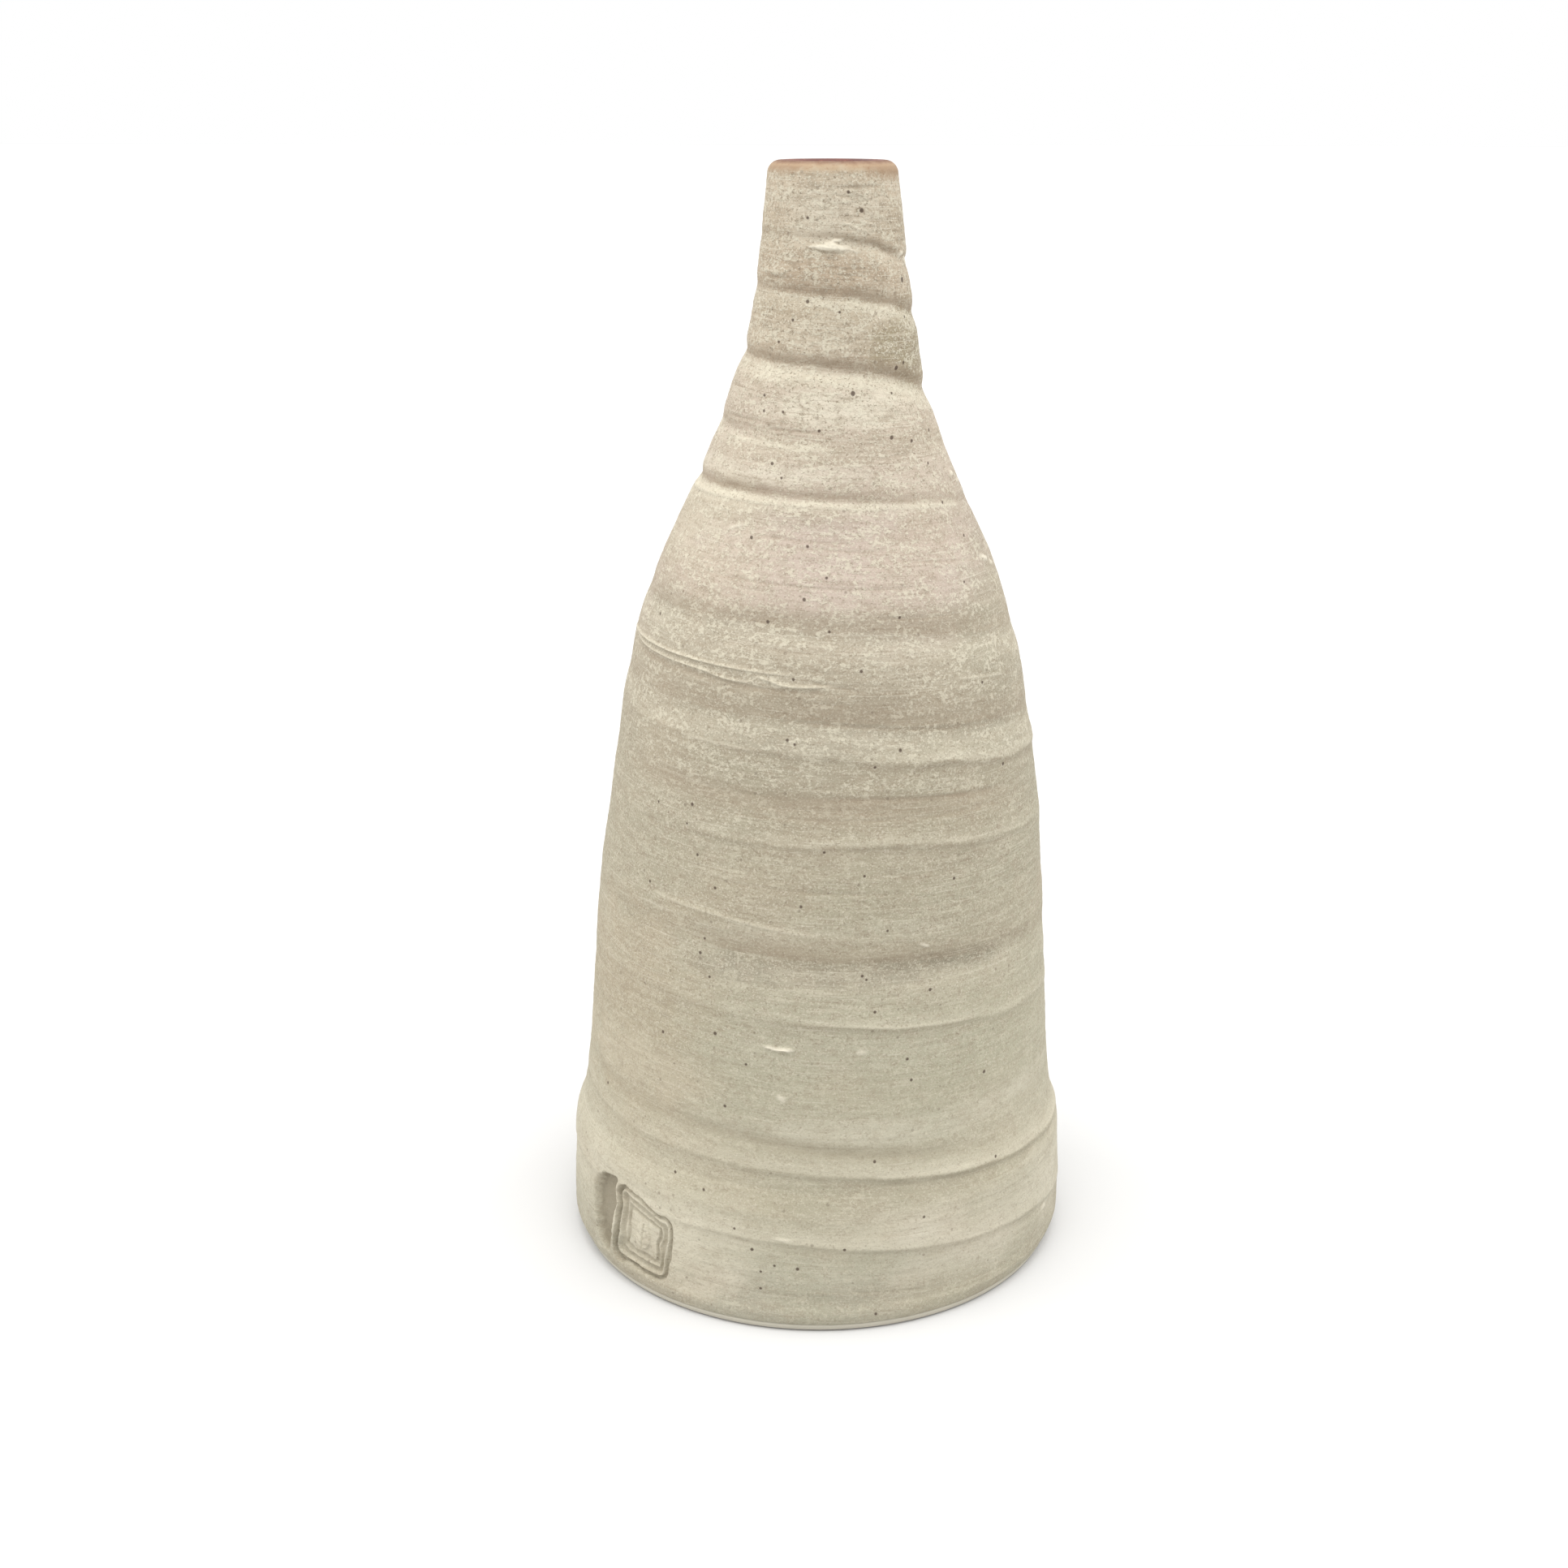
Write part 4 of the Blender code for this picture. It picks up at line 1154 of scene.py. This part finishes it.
def clay_base(material):
    """The floor and low wall: inside, over the joint, down to the foot, and the cut underside."""
    fillet_height = FLOOR_TOP + FLOOR_FILLET
    back_radius = outline(fillet_height) - CLAY_BACK_DEPTH
    rows = floor_rows(FLOOR_TOP, 1, back_radius - FLOOR_FILLET - 1, 24)
    rows += fillet_rows(FLOOR_FILLET, back_radius - FLOOR_FILLET, fillet_height, -90, 0, 10)
    rows += wall_rows(fillet_height + 1, BASE_SEAM - GAP / 2 + TONGUE, 1, CLAY_BACK_DEPTH, back=True)
    rows += stepped_rows(BASE_SEAM, -1)
    rows += wall_rows(BASE_SEAM - GAP / 2, 3.5, 0.4, CLAY_TOP_DEPTH)
    rows += [row(height, depth) for height, depth in CLAY_EDGE_ROWS]
    for turn in np.radians(np.linspace(5, 90, 12)):
        depth = FOOT_INSET + FOOT_ROUNDING * (1 - math.cos(turn))
        rows.append(row(FOOT_ROUNDING * (1 - math.sin(turn)), depth))
    rows += [row(0, FOOT_ROUNDING + 0.6)]
    rows += [row(0, outline(0) - radius, trueness=float(smoothstep(45.5, 43, radius)))
             for radius in np.linspace(46, 0.8, 146)]

    piece = turned_piece("clay_base", rows, angles_closer_at_seal(200, 60), material, closed=False)
    raise_underside(piece)
    finished(piece, "base_section")


def raise_underside(piece):
    """Cut the wire's arcs into the faces that lie on the ground."""
    points = np.array([v.co for v in piece.data.vertices]) / MM
    under = points[:, 2] < 0.001
    points[under, 2] += wire_marks(points[under, 0], points[under, 1])
    piece.data.vertices.foreach_set("co", (points * MM).astype(np.float32).ravel())
    piece.data.update()


def liner(material):
    """The glaze inside, from the floor to where it rolls over the crest of the lip."""
    fillet_height = FLOOR_TOP + FLOOR_FILLET
    centre_radius = outline(fillet_height) - CLAY_BACK_DEPTH - FLOOR_FILLET
    low = floor_rows(FLOOR_TOP + GAP + LINER, 1, centre_radius - 1, 24)
    low += fillet_rows(FLOOR_FILLET - GAP - LINER, centre_radius, fillet_height, -90, 0, 8)
    low += wall_rows(fillet_height + 1, LINER_SPLIT, 1.2, WALL, back=True)
    low += wall_rows(LINER_SPLIT, fillet_height + 1, 1.2, LINER_TOP_DEPTH, back=True)
    low += fillet_rows(FLOOR_FILLET - GAP, centre_radius, fillet_height, 0, -90, 8)
    low += floor_rows(FLOOR_TOP + GAP, centre_radius - 1, 1, 12)
    finished(turned_piece("liner_bottle", low, even_angles(200), material, closed=False),
             "liner_glaze")

    high = wall_rows(LIP_CENTRE - 1, LINER_SPLIT, 0.9, LINER_TOP_DEPTH, back=True)
    high += wall_rows(LINER_SPLIT, LIP_CENTRE - 1, 0.9, WALL, back=True)
    high += arc_rows(LIP_ROUNDING, 180, ROLL_EDGE, 20)
    high += arc_rows(LIP_ROUNDING - LINER, ROLL_EDGE, 180, 12)
    finished(turned_piece("liner_mouth", high, even_angles(240), material),
             "liner_glaze")


# The studio.

FLOOR_COLOUR = (0.61, 0.61, 0.61, 1)
FLOOR_REACH = 12
WORLD_LEVEL = 1

# Softboxes: name, azimuth, elevation, width in degrees, strength and colour.
LIGHTS = (
    ("softbox_above", 10, 77, 50, 2.3, (1, 0.99, 0.97)),
    ("softbox_left", -95, 22, 60, 1.15, (1, 0.99, 0.97)),
    ("softbox_right", 105, 20, 60, 0.9, (0.98, 0.99, 1)),
)

# Where the photograph was taken from.
CAMERA_PLACE = (-7.26, -417.1, 230.1)
CAMERA_PITCH = 17.78
CAMERA_ROLL = 0.12
LENS = 48.74
SENSOR = 36


def add_floor():
    """A level floor of one plain colour."""
    plain = Surface("studio_floor")
    plain.shader.inputs["Base Color"].default_value = FLOOR_COLOUR
    plain.shader.inputs["Roughness"].default_value = 1
    plain.shader.inputs["Specular IOR Level"].default_value = 0
    mesh = bpy.data.meshes.new("studio_floor")
    sides = ((-1, -1), (1, -1), (1, 1), (-1, 1))
    mesh.from_pydata([(FLOOR_REACH * x, FLOOR_REACH * y, 0) for x, y in sides], [], [(0, 1, 2, 3)])
    mesh.materials.append(plain.material)
    add_object("studio_floor", mesh)


def add_light(name, azimuth, elevation, spread_angle, strength, colour):
    """A wide softbox far away: azimuth from the front towards +X, and elevation, in degrees."""
    data = bpy.data.lights.new(name, "SUN")
    data.angle = math.radians(spread_angle)
    data.energy = strength
    data.color = colour
    light = add_object(name, data)
    turn, rise = math.radians(azimuth), math.radians(elevation)
    towards = Vector((math.sin(turn) * math.cos(rise), -math.cos(turn) * math.cos(rise), math.sin(rise)))
    light.location = towards
    light.rotation_euler = towards.to_track_quat("Z", "Y").to_euler()


def add_studio():
    scene = bpy.context.scene
    world = bpy.data.worlds.new("studio")
    world.use_nodes = True
    background = world.node_tree.nodes["Background"]
    background.inputs["Color"].default_value = (1, 1, 1, 1)
    background.inputs["Strength"].default_value = WORLD_LEVEL
    scene.world = world
    scene.view_settings.view_transform = "Standard"
    scene.view_settings.look = "None"
    for light in LIGHTS:
        add_light(*light)


def add_camera():
    """The photograph's view: from just above the lip, close to the vase."""
    data = bpy.data.cameras.new("camera")
    data.lens = LENS
    data.sensor_width = SENSOR
    camera = add_object("camera", data)
    camera.location = Vector(CAMERA_PLACE) * MM
    tilt = Matrix.Rotation(math.radians(90 - CAMERA_PITCH), 4, "X")
    roll = Matrix.Rotation(math.radians(CAMERA_ROLL), 4, "Z")
    camera.rotation_euler = (tilt @ roll).to_euler()
    bpy.context.scene.camera = camera


def build():
    add_camera()
    add_studio()
    add_floor()
    coat_bands(matte_glaze())
    lip_bead(toasted_glaze())
    liner(liner_satin())
    clay = bare_clay()
    clay_sections(clay)
    clay_base(clay)


build()
